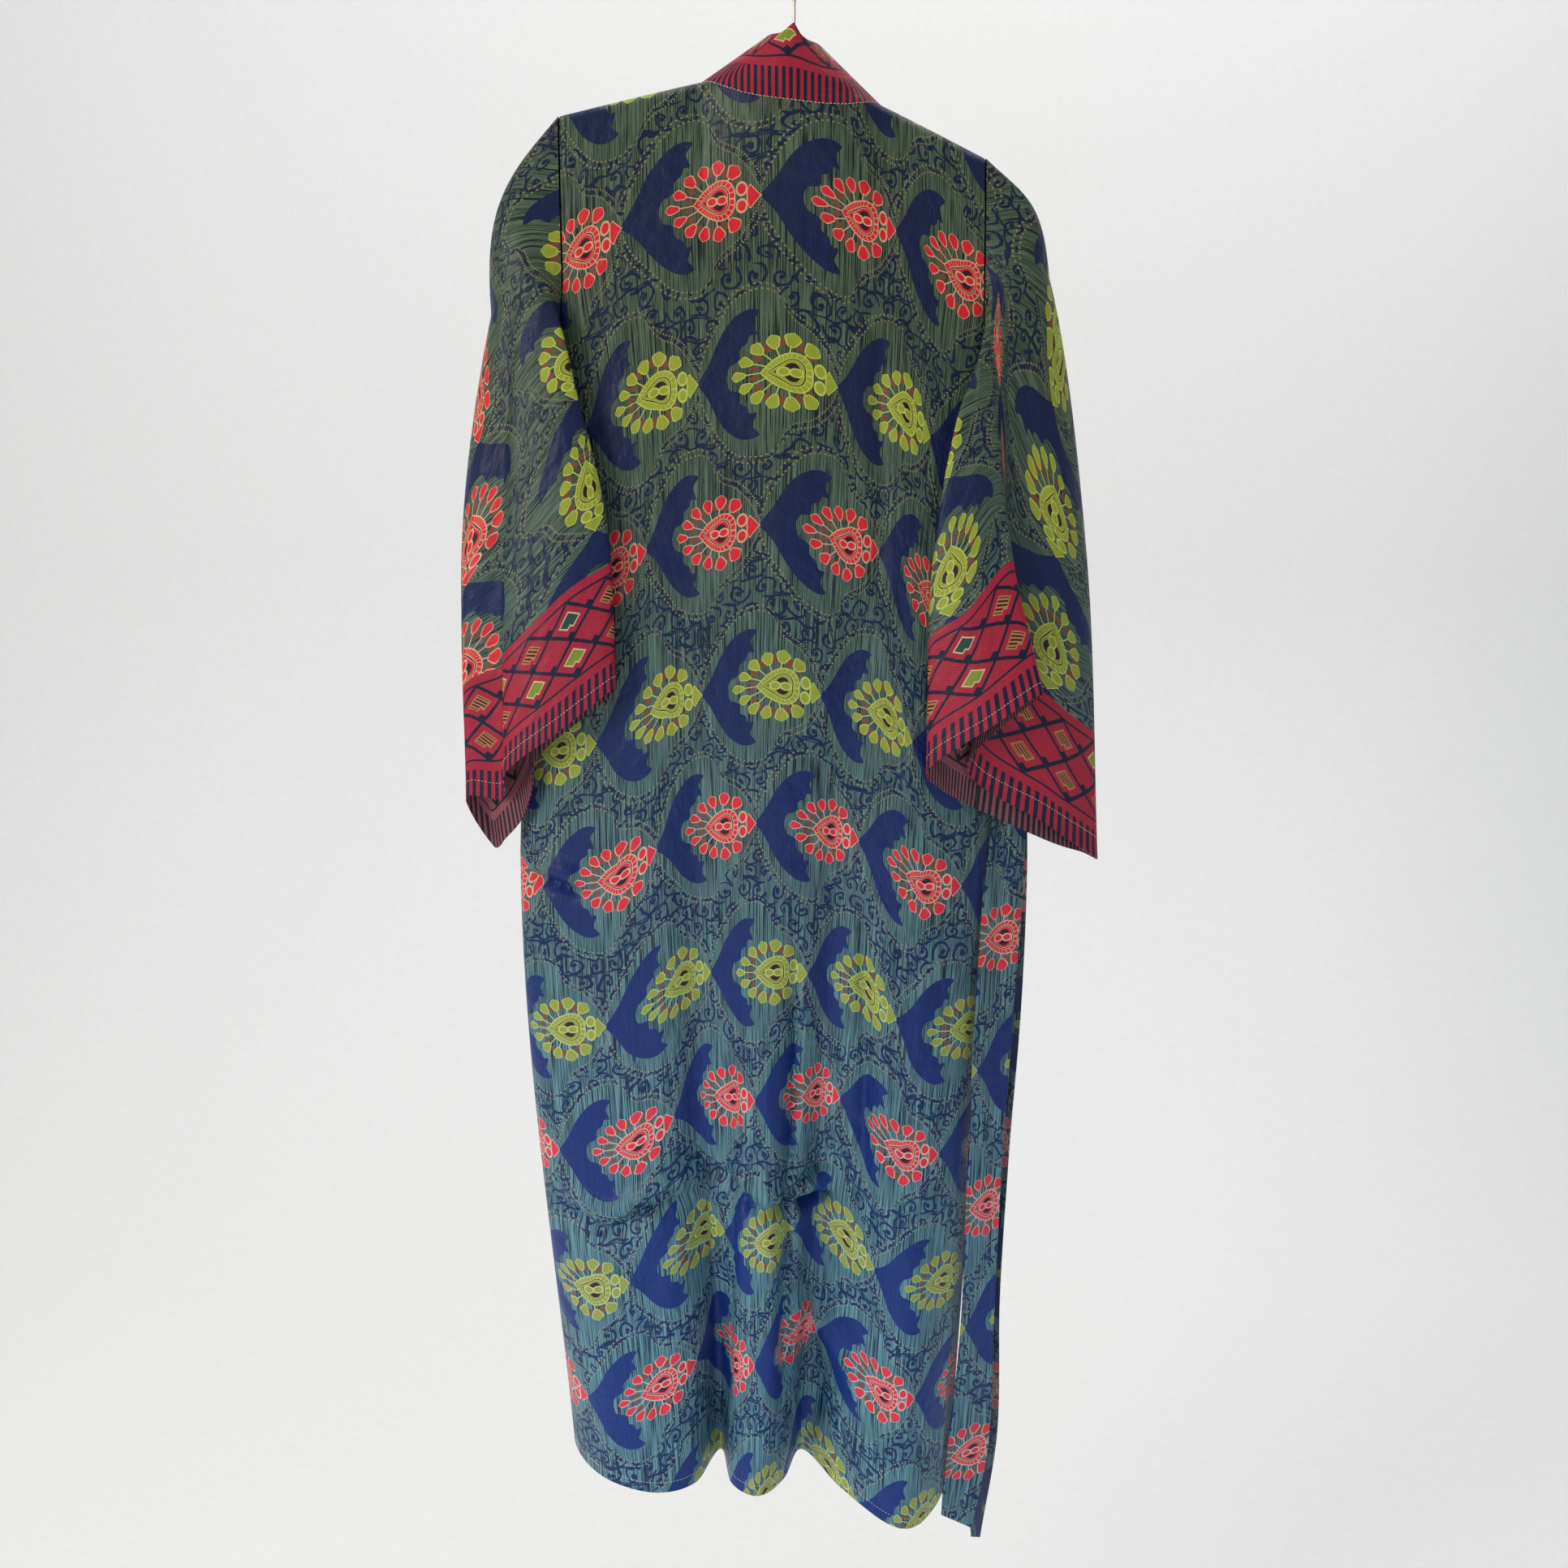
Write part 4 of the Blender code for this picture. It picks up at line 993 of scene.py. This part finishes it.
def bordered_silk(name, shift):
    """The sari cloth with its border along the selvedge, and its flowers as they were cut."""
    material, shader, add = new_material(name)
    flat = add("UVMap", uv_map="cloth")
    # Its dyes go from painted shade at the top to a painted sky reflection at the hem
    painted_light_share = painted_light_ramp(add)
    border, inside = border_colour(add, flat, painted_light_share)
    flowers = sari_colour(add, add("Mapping", flat, (*shift, 0.0)), painted_light_share)
    finish_silk(add, shader, flat, painted(add, flowers, (inside, border)))
    return material


# The sleeves. Each is a wide tube of cloth set into the armhole, with the border round the cuff,
# and it hangs folded flat. A row is one fold line along it: its name, where it leaves the armhole
# as a share of the way round from the shoulder by the back, and its points in millimetres on the
# upper arm, at the elbow and on the cuff's edge.
LEFT_SLEEVE = (
    ("outer ridge", 0.00, (-285, 2, -315), (-322, -4, -557), (-303, -12, -837)),
    ("outer slope", 0.06, (-273, -22, -311), (-314, -28, -560), (-324, -31, -782)),
    ("hollow", 0.12, (-259, -30, -306), (-279, -36, -552), (-288, -36, -781)),
    ("flap crest", 0.17, (-246, -36, -303), (-268, -54, -542), (-278, -62, -746)),
    ("flap middle", 0.22, (-231, -41, -312), (-219, -66, -502), (-224, -74, -703)),
    ("flap edge", 0.28, (-211, -45, -345), (-180, -60, -500), (-174, -66, -665)),
    ("flap turn", 0.37, (-217, -43, -388), (-188, -49, -512), (-185, -53, -681)),
    ("underarm", 0.50, (-252, -18, -470), (-243, -44, -585), (-248, -47, -734)),
    ("front inner", 0.62, (-268, 10, -455), (-272, -28, -605), (-258, -40, -773)),
    ("front middle", 0.75, (-277, 26, -390), (-298, -8, -604), (-270, -30, -803)),
    ("front outer", 0.88, (-284, 22, -341), (-315, 6, -585), (-288, -22, -826)),
)
RIGHT_SLEEVE = (
    ("outer ridge", 0.00, (240, 2, -281), (285, -4, -541), (306, -12, -850)),
    ("outer slope", 0.07, (221, -22, -289), (261, -32, -545), (250, -40, -806)),
    ("fold bottom", 0.13, (199, -31, -311), (203, -46, -551), (170, -60, -744)),
    ("fold edge", 0.20, (180, -41, -350), (203, -64, -525), (236, -87, -665)),
    ("flap middle", 0.26, (168, -47, -378), (166, -74, -546), (183, -92, -699)),
    ("flap edge", 0.32, (154, -49, -408), (134, -66, -540), (132, -76, -739)),
    ("far inner", 0.39, (165, -43, -436), (142, -53, -570), (140, -62, -762)),
    ("underarm", 0.50, (214, -17, -512), (196, -38, -640), (180, -45, -789)),
    ("front inner", 0.62, (226, 10, -490), (230, -26, -635), (222, -35, -811)),
    ("front middle", 0.75, (236, 26, -410), (258, -6, -618), (264, -20, -833)),
    ("front outer", 0.88, (240, 22, -335), (278, 9, -584), (294, -6, -846)),
)
SLEEVE_SECTIONS = (0.0, 0.30, 0.62, 1.0)
SLEEVE_ROWS = 110
COLUMNS_A_FOLD = 10
UNDERARM = 7
EVEN_WAVES = 4
EASED_TO = 0.2
HELD_FROM = 0.8
HOLD_POWER = 5
PULL = 0.12
FLAT_ROUNDS = ((22, 600), (44, 400), (88, 200))
SLEEVE_SLACK, SLEEVE_HELD = 0.0009, 0.15
TURN_WIDTH = 0.055
TUCK_FOLD = 3
RIGHT_TUCK = 0.12
ARMHOLE_DEPTH = ARMHOLE_DROPS[-1]
ARMHOLE_GAP = 0.0018
LEFT_CAP_BULGE = 0.020
RIGHT_CAP_BULGE = 0.010


def armhole_loop(side, share):
    """The armhole's edge: share 0 is the shoulder, 0.5 the underarm, and the back comes first."""
    share = np.mod(share, 1.0)
    front = share > 0.5
    drop = ARMHOLE_DEPTH * np.where(front, 1 - share, share) / 0.5
    back_edge = body_points(armhole_place(side, drop, False), drop)
    front_edge = body_points(armhole_place(side, drop, True), drop)
    edge = np.where(front[..., None], front_edge, back_edge)
    edge[..., 0] += side * ARMHOLE_GAP
    edge[..., 1] -= ARMHOLE_GAP * np.sin(2 * math.pi * share)
    return edge


def resampled(values, rows, columns=None):
    """A grid of values read at another number of rows and columns."""
    columns = columns or rows
    at = np.linspace(0, values.shape[0] - 1, rows)
    low = np.minimum(at.astype(int), values.shape[0] - 2)
    values = values[low] + (at - low)[:, None, None] * (values[low + 1] - values[low])
    at = np.linspace(0, values.shape[1] - 1, columns)
    low = np.minimum(at.astype(int), values.shape[1] - 2)
    return values[:, low] + (at - low)[None, :, None] * (values[:, low + 1] - values[:, low])


def smoothed(values, width):
    """A grid of values with each the mean of those up to half a width away."""
    half = int(width / 2)
    reach = range(-half, half + 1)
    for axis in (0, 1):
        order = np.arange(values.shape[axis])
        near = [np.take(values, np.clip(order + k, 0, order[-1]), axis) for k in reach]
        values = np.mean(near, axis=0)
    return values


def sleeve_points(side, folds, across, along):
    """A sleeve's cloth: across counts fold lines round it, along is 0 to 1 from the armhole."""
    across, along = np.broadcast_arrays(across, along)
    count = len(folds)
    plan = np.array([row[2:5] for row in folds]) / 1000
    shares = np.array([row[1] for row in folds])
    order = np.arange(-2, count + 3)
    share = table_curve(order, shares[order % count] + order // count, across)
    rings = table_curve(order, plan[order % count], across)
    rings = np.concatenate([armhole_loop(side, share)[..., None, :], rings], axis=-2)
    weights = table_curve(SLEEVE_SECTIONS, np.eye(4), along)
    points = (rings * weights[..., None]).sum(axis=-2)
    top = np.clip(along / SLEEVE_SECTIONS[1], 0, 1)
    height = LEFT_CAP_BULGE if side < 0 else RIGHT_CAP_BULGE
    bulge = height * np.sin(math.pi * top) * np.cos(math.pi * share) ** 4
    points[..., 0] += side * bulge
    points[..., 2] += bulge / 2
    return points


def eased(points, flat):
    """A flat measure with its upper part eased to the cloth's own lengths.

    The cloth's edges and diagonals are springs at their own lengths, and they pull the flat grid
    to rest on ever finer grids. Each row is held to where it was cut, firmly at the cuff.
    """
    rows, columns = points.shape[:2]
    down, across = np.gradient(points, axis=0), np.gradient(points, axis=1)
    pairs = ((down, down), (down, across), (across, across))
    stretch = np.stack([(one * other).sum(axis=-1) for one, other in pairs], axis=-1)
    as_cut = flat
    for nodes, rounds in FLAT_ROUNDS:
        kept, flat = resampled(as_cut, nodes), resampled(flat, nodes)
        share = (np.linspace(0.0, 1.0, nodes) - EASED_TO) / (HELD_FROM - EASED_TO)
        hold = smooth(share)[:, None, None] ** HOLD_POWER
        metric = resampled(smoothed(stretch, rows / nodes), nodes)
        step = np.array([rows - 1, columns - 1]) / (nodes - 1)
        springs = []
        for r, c in ((1, 0), (0, 1), (1, 1), (1, -1)):
            a, b = (r, c) * step
            here = (slice(0, nodes - r), slice(max(0, -c), nodes - max(0, c)))
            there = (slice(r, nodes), slice(max(0, c), nodes - max(0, -c)))
            e, f, g = np.moveaxis((metric[here] + metric[there]) / 2, -1, 0)
            square = e * a * a + 2 * f * a * b + g * b * b
            springs.append((here, there, np.sqrt(np.maximum(square, 1e-12))))
        for _ in range(rounds):
            pull = np.zeros_like(flat)
            for here, there, rest in springs:
                gap = flat[there] - flat[here]
                length = np.maximum(np.linalg.norm(gap, axis=-1), 1e-9)
                move = gap * ((1 - rest / length) * PULL)[..., None]
                pull[here] += move
                pull[there] -= move
            flat = flat + pull
            flat = flat + hold * (kept - flat)
    return resampled(flat, rows, columns)


def sleeve(name, side, folds, material, tucked, seed):
    """A sleeve with its flat measure: back from the cuff's edge, and round the tube from underarm.

    tucked is how much more cloth lies folded away under the flap than the tube shows.
    """
    count = len(folds)
    turn = UNDERARM - side * np.arange(count * COLUMNS_A_FOLD) / COLUMNS_A_FOLD
    along = np.linspace(0.0, 1.0, SLEEVE_ROWS)[:, None]
    points = sleeve_points(side, folds, np.mod(turn, count)[None, :], along)
    held = smooth(along / SLEEVE_HELD)
    wave = soft_waves(turn[None, :] * TURN_WIDTH, along * 0.5, SLEEVE_SLACK, seed)
    points = points + facing(points, True) * (wave * held)[..., None]
    run = run_of(points)
    waves = np.fft.rfft(run - run[-1:], axis=1)
    waves[:, EVEN_WAVES:] = 0
    back_from_cuff = np.fft.irfft(waves, points.shape[1], axis=1)
    back_from_cuff = np.concatenate([back_from_cuff, back_from_cuff[:, :1]], axis=1)
    ring = np.concatenate([points, points[:, :1]], axis=1)
    girth = np.linalg.norm(np.diff(ring, axis=1), axis=-1)[SLEEVE_ROWS // 3 :].mean(axis=0)
    round_tube = np.concatenate([[0.0], np.cumsum(girth)])
    chart = np.stack([back_from_cuff, np.broadcast_to(round_tube, back_from_cuff.shape)], axis=-1)
    chart = eased(ring, chart)
    chart[..., 1] += tucked * smooth(TUCK_FOLD - np.append(turn, turn[-1]))
    return cloth_piece(name, points, chart, material, closed=True)


left_silk = bordered_silk("left_sleeve_silk", (0.012, 0.128))
right_silk = bordered_silk("right_sleeve_silk", (-0.02, 0.024))
sleeve_left = sleeve("sleeve_left_cloth", -1, LEFT_SLEEVE, left_silk, 0.0, 21)
sleeve_right = sleeve("sleeve_right_cloth", 1, RIGHT_SLEEVE, right_silk, RIGHT_TUCK, 22)
for piece, cad_node, size, area in (
    (sleeve_left, "sleeve_left", (0.42, 0.46), 0.16),
    (sleeve_right, "sleeve_right", (0.44, 0.48), 0.187),
):
    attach(piece, "root")
    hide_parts(cad_node)

# The neckband. A strip of the border, folded double, up one front, round the neck and down the
# other. It stands up behind the neck and its bars meet the neckline seam.
BAND_TURN = 0.22
BAND_AT_BACK = (0.0, 0.014, 0.066)
BAND_AT_LEFT = (0.060, 0.003, 0.040)
BAND_AT_RIGHT = (-0.054, 0.003, 0.050)
BAND_COLUMNS = 16
BAND_ROWS = 220
BAND_TOP = 0.003
BAND_CROWDING = 1.15
BAND_PROUD = 0.0002
NECK_STATIONS = 70
BAND_CUT = 0.001
BAR_TURN = 0.3
BAND_LAP = 0.002


def neckband():
    """The band: up the left front, round the neck and down the right, free edge inwards."""
    front_drops = np.linspace(0.0, 1.0, BAND_ROWS) ** BAND_CROWDING
    front_drops = BAND_TOP + (BODY_LENGTH - BAND_TOP) * front_drops
    across = np.linspace(0.0, 1.0, BAND_COLUMNS + 1)[None, :, None]
    stretches = []
    for side, reach in ((-1, BAND_AT_LEFT), (1, BAND_AT_RIGHT)):
        where = "left" if side < 0 else "right"
        seam = place_of(where + " band seam") + side * SEAM_GAP
        place = seam + (place_of(where + " band edge") - seam) * across[..., 0]
        flat = body_points(place, front_drops[:, None])
        standing = flat[:, :1] + np.array(reach) * across
        turned = smooth(front_drops / BAND_TURN)[:, None, None]
        stretches.append(standing * (1 - turned) + flat * turned)
    corners = [place_of("left band seam"), place_of("right band seam")]
    left_x, right_x = (float(body_points(corner, 0.0)[0]) for corner in corners)
    turn = np.linspace(0.0, math.pi, NECK_STATIONS)
    x = (left_x + right_x) / 2 - (right_x - left_x) / 2 * np.cos(turn)
    x[0] += SEAM_GAP
    x[-1] -= SEAM_GAP
    share = neck_share(x)
    scoop = NECK_SCOOP * np.clip(1 - share**2, 0, 1)
    first = FOLD_NAMES.index("left side seam")
    last = FOLD_NAMES.index("right side seam") + 1
    places = np.interp(x, FOLD_PLAN[first:last, 0, 0], FOLD_PLACES[first:last])
    blend = np.clip(1 - share**2, 0, 1)[:, None] ** 2
    seam = body_points(places, scoop + BAND_LAP * blend[:, 0])
    seam[:, 1] -= (WALL + BAND_PROUD) * blend[:, 0]
    left = x < (left_x + right_x) / 2
    side_reach = np.where(left[:, None], BAND_AT_LEFT, BAND_AT_RIGHT)
    out = side_reach * (1 - blend) + np.array(BAND_AT_BACK) * blend
    out[:, 0] = (np.where(left, left_x, right_x) + side_reach[:, 0]) * share**2 - x
    neck = seam[:, None, :] + out[:, None, :] * across
    points = np.concatenate([stretches[0][::-1], neck, stretches[1]])
    inwards = run_of(points.swapaxes(0, 1)).T
    along = np.broadcast_to(run_of(points[:, 0])[:, None], inwards.shape).copy()
    part = slice(BAND_ROWS, BAND_ROWS + NECK_STATIONS)
    upright = np.interp(points[part, :, 0], points[part, 0, 0], along[part, 0])
    even = smooth((1 - share) / BAR_TURN)[:, None]
    along[part] += even * (upright - along[part])
    chart = np.stack([BAND_CUT - inwards, along], axis=-1)
    return cloth_piece("neckband_cloth", points, chart, band_silk)


# Border cloth alone, in its two reds and navy
band_silk, shader, add = new_material("lattice_border_silk")
band_flat = add("UVMap", uv_map="cloth")
# The border's dyes go from painted shade at the top to a painted sky reflection at the hem
finish_silk(add, shader, band_flat, border_colour(add, band_flat, painted_light_ramp(add))[0])
band = neckband()
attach(band, "root")
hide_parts("neckband")

# The belt loops. A narrow strip of the silk sewn at both ends to each side seam. The right one is
# pulled out by the sash.
LOOP_TOP_DROP = 0.385
LOOP_LENGTH = 0.066
LOOP_WIDTH = 0.008
LOOP_ROWS = 60
LOOP_COLUMNS = 6


def belt_loop(name, side, seat, reach):
    """A strip whose two ends are sewn to the side seam: a half ellipse standing out by its reach.

    seat is how far its ends lie outside the middle of the body's wall.
    """
    turn = np.linspace(0.0, math.pi, LOOP_ROWS)
    drop = LOOP_TOP_DROP + LOOP_LENGTH / 2 * (1 - np.cos(turn))
    path = body_points(side_seam(side), drop)
    path[:, 0] += side * (seat + reach * np.sin(turn))
    across = side * np.linspace(-0.5, 0.5, LOOP_COLUMNS + 1)
    points = path[:, None, :] + across[None, :, None] * np.array([0.0, LOOP_WIDTH, 0.0])
    chart = (across[None, :] * LOOP_WIDTH, run_of(path)[:, None])
    chart = np.stack(np.broadcast_arrays(*chart), axis=-1)
    return cloth_piece(name, points, chart + 0.03, body_silk)


loop_left = belt_loop("belt_loop_left_cloth", -1, WALL + 0.0001, 0.010)
loop_right = belt_loop("belt_loop_right_cloth", 1, WALL - 0.0004, 0.032)
for piece, cad_node, length in (
    (loop_left, "belt_loop_left", 0.070),
    (loop_right, "belt_loop_right", 0.098),
):
    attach(piece, "root")
    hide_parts(cad_node)

# The sash. A long strip of the silk that hangs doubled through the right belt loop, gathered
# there, with its far tail behind the near one. A row is one station: its middle x, y, z and its
# width there in millimetres, and its turn from the X axis in degrees.
SASH = (
    ("near end", 181, -36, -1609, 36, 20),
    ("near hem", 190, -37, -1535, 52, 26),
    ("near knee", 198, -36, -1370, 43, 28),
    ("near thigh", 201, -34, -1190, 42, 28),
    ("near hip", 206, -29, -1030, 46, 28),
    ("near waist", 214, -16, -860, 42, 18),
    ("near bunch", 221, -12, -730, 24, 10),
    ("near bend", 221, -11, -636, 14, 0),
    ("on the loop", 221, 0, -619.4, 13, 0),
    ("far bend", 221, 11, -636, 14, 0),
    ("far bunch", 222, 15, -730, 24, -10),
    ("far waist", 222, 22, -860, 40, -18),
    ("far hip", 220, 30, -1030, 44, -22),
    ("far thigh", 214, 34, -1190, 43, -22),
    ("far knee", 210, 34, -1370, 42, -22),
    ("far hem", 213, 30, -1540, 38, -20),
    ("far end", 210, 22, -1672, 10, -10),
)
SASH_ROWS = 420
SASH_COLUMNS = 14
SASH_WIDTH = 0.052
SASH_END_SLANT = 0.7
SASH_SLANT_RUN = 0.08
SASH_SLACK = 0.0012
PLEATS, PLEAT_HEIGHT = 1.5, 0.0016
PLEATS_FROM, PLEATS_TO = 0.08, 0.9


def sash():
    """A strip through its stations, gathered into small pleats where the loop holds it."""
    stations = np.array([row[1:] for row in SASH]) / (1000, 1000, 1000, 1000, 1)
    run = run_of(stations[:, :3])
    middle = run[[row[0] for row in SASH].index("on the loop")]
    even = np.linspace(0.0, run[-1], SASH_ROWS)
    tight = middle + np.linspace(-0.03, 0.03, 30)
    along = np.sort(np.concatenate([even, tight]))
    strip = table_curve(run, stations, along)
    turn = np.radians(strip[:, 4])
    share = np.linspace(0.5, -0.5, SASH_COLUMNS + 1)[None, :]
    offset = share * strip[:, 3, None]
    x = strip[:, 0, None] + offset * np.cos(turn)[:, None]
    y = strip[:, 1, None] + offset * np.sin(turn)[:, None]
    near = (1 - smooth(along / SASH_SLANT_RUN))[:, None]
    z = strip[:, 2, None] - offset * near * SASH_END_SLANT
    points = np.stack([x, y, z], axis=-1)
    pleat = np.sin(share * 2 * math.pi * PLEATS + along[:, None] * 7.0)
    away = np.abs(along - middle)
    slack = smooth(away / PLEATS_FROM) * (1 - smooth(away / PLEATS_TO))
    wave = soft_waves(share * 0.05, along[:, None], SASH_SLACK, 31)
    free = smooth(along / 0.03) * smooth(away / 0.05)
    lift = PLEAT_HEIGHT * pleat * slack[:, None] + wave * free[:, None]
    points = points + facing(points, False) * lift[..., None]
    chart = np.stack(np.broadcast_arrays(share * SASH_WIDTH, along[:, None]), axis=-1)
    return cloth_piece("sash_cloth", points, chart, sash_silk)


sash_silk = flowered_silk("sash_silk", (0.0, -0.088))
belt = sash()
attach(belt, "root")
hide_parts("sash")

# The stitching. Cream sewing thread: a line of topstitch above the hem, one round each cuff
# through the bars, and the seam at the neck.
STITCH_LENGTH = 0.0026
STITCH_STEP = 0.0036
STITCH_WIDTH = 0.0007
STITCH_HEIGHT = 0.0003
HEM_TURN_UP = 0.012
CUFF_ROW = -4


def skins(piece, rows):
    """The points of a piece's two skins, as two by rows by columns by three."""
    points = np.empty(len(piece.data.vertices) * 3, np.float32)
    piece.data.vertices.foreach_get("co", points)
    return points.reshape(2, rows, -1, 3).astype(float)


def stitches(name, line, first=0, last=None):
    """Short raised threads end to end along a line, given on both skins of its cloth.

    Each is a flat bar with pointed ends, standing a little off the outer skin.
    """
    path, beneath = line[:, first:last]
    run = run_of(path)
    middles = np.arange(STITCH_STEP, run[-1] - STITCH_STEP, STITCH_STEP)
    place, under, ahead = (
        np.stack([np.interp(middles, run, way) for way in values.T], axis=1)
        for values in (path, beneath, np.gradient(path, run, axis=0))
    )
    normal = place - under
    normal /= np.linalg.norm(normal, axis=1, keepdims=True)
    ahead /= np.linalg.norm(ahead, axis=1, keepdims=True)
    axes = np.stack([ahead, np.cross(normal, ahead), normal], axis=1)
    ring = [(-1, 0, 0), (-0.7, -1, 0), (0.7, -1, 0), (1, 0, 0), (0.7, 1, 0), (-0.7, 1, 0)]
    low = np.array(ring) - (0.0, 0.0, 0.5)
    high = ring * np.array([0.8, 0.55, 0.0]) + (0.0, 0.0, 1.0)
    shape = np.concatenate([low, high]) * (STITCH_LENGTH / 2, STITCH_WIDTH / 2, STITCH_HEIGHT)
    corners = place[:, None] + shape @ axes
    side = [(i, (i + 1) % 6, 6 + (i + 1) % 6, 6 + i) for i in range(6)]
    ends = [(6, 7, 8, 11), (8, 9, 10, 11), (3, 2, 1, 0), (5, 4, 3, 0)]
    faces = np.array(side + ends)[None, :, :] + 12 * np.arange(len(place))[:, None, None]
    piece = mesh_piece(name, corners.reshape(-1, 3), faces.reshape(-1, 4), thread)
    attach(piece, "root")


# Mercerised sewing thread: smooth, with a soft shine
thread, shader, *_ = two_tone("cream_sewing_thread", "#b9a88a", "#e6d8ba", 900.0, 1.0)
shader.inputs["Roughness"].default_value = 0.5

body_rows = BODY_ROWS + 5
hem_row = body_rows - 1 - HEM_TURN_UP / (BODY_LENGTH / BODY_ROWS)
low_row = int(hem_row)
hems = {"hem_stitch_back": back, "hem_stitch_left": front_left, "hem_stitch_right": front_right}
for name, piece in hems.items():
    above, below = (skins(piece, body_rows)[:, low_row + k] for k in (0, 1))
    stitches(name, above + (hem_row - low_row) * (below - above))
for piece, name in ((sleeve_left, "cuff_stitch_left"), (sleeve_right, "cuff_stitch_right")):
    cloth = skins(piece, SLEEVE_ROWS)
    stitches(name, np.concatenate([cloth[:, CUFF_ROW], cloth[:, CUFF_ROW, :1]], axis=1))
collar = skins(band, 2 * BAND_ROWS + NECK_STATIONS)
stitches("neck_stitch", collar[:, BAND_ROWS : BAND_ROWS + NECK_STATIONS, 0], 3, -3)

# The hanger and its hook. A turned wooden bar inside the shoulders, and a steel wire hook that
# passes up through the collar. Both keep their CAD shapes.
WOOD_FIBRE = (6.0, 90.0, 90.0)
wood, shader, add, grain = two_tone(
    "waxed_pale_beech", "#b98d5e", "#d9b98c", 2.2, 5.0, 0.6, stretch=WOOD_FIBRE
)
shader.inputs["Roughness"].default_value = 0.42
wood.node_tree.links.new(add("Bump", 0.2, 0.0003, None, grain), shader.inputs["Normal"])

# Drawn steel wire with a dulled, slightly warm plating
wire, shader, add, draw = two_tone("plated_steel_wire", "#a79f8f", "#c9c2b4", 300.0, 3.0)
shader.inputs["Metallic"].default_value = 1.0
wire_rough = add("MapRange", draw, 0.3, 0.7, 0.26, 0.42)
wire.node_tree.links.new(wire_rough, shader.inputs["Roughness"])

for cad_node, material in (("hanger", wood), ("hook", wire)):
    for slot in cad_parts[cad_node].material_slots:
        slot.link = "OBJECT"
        slot.material = material
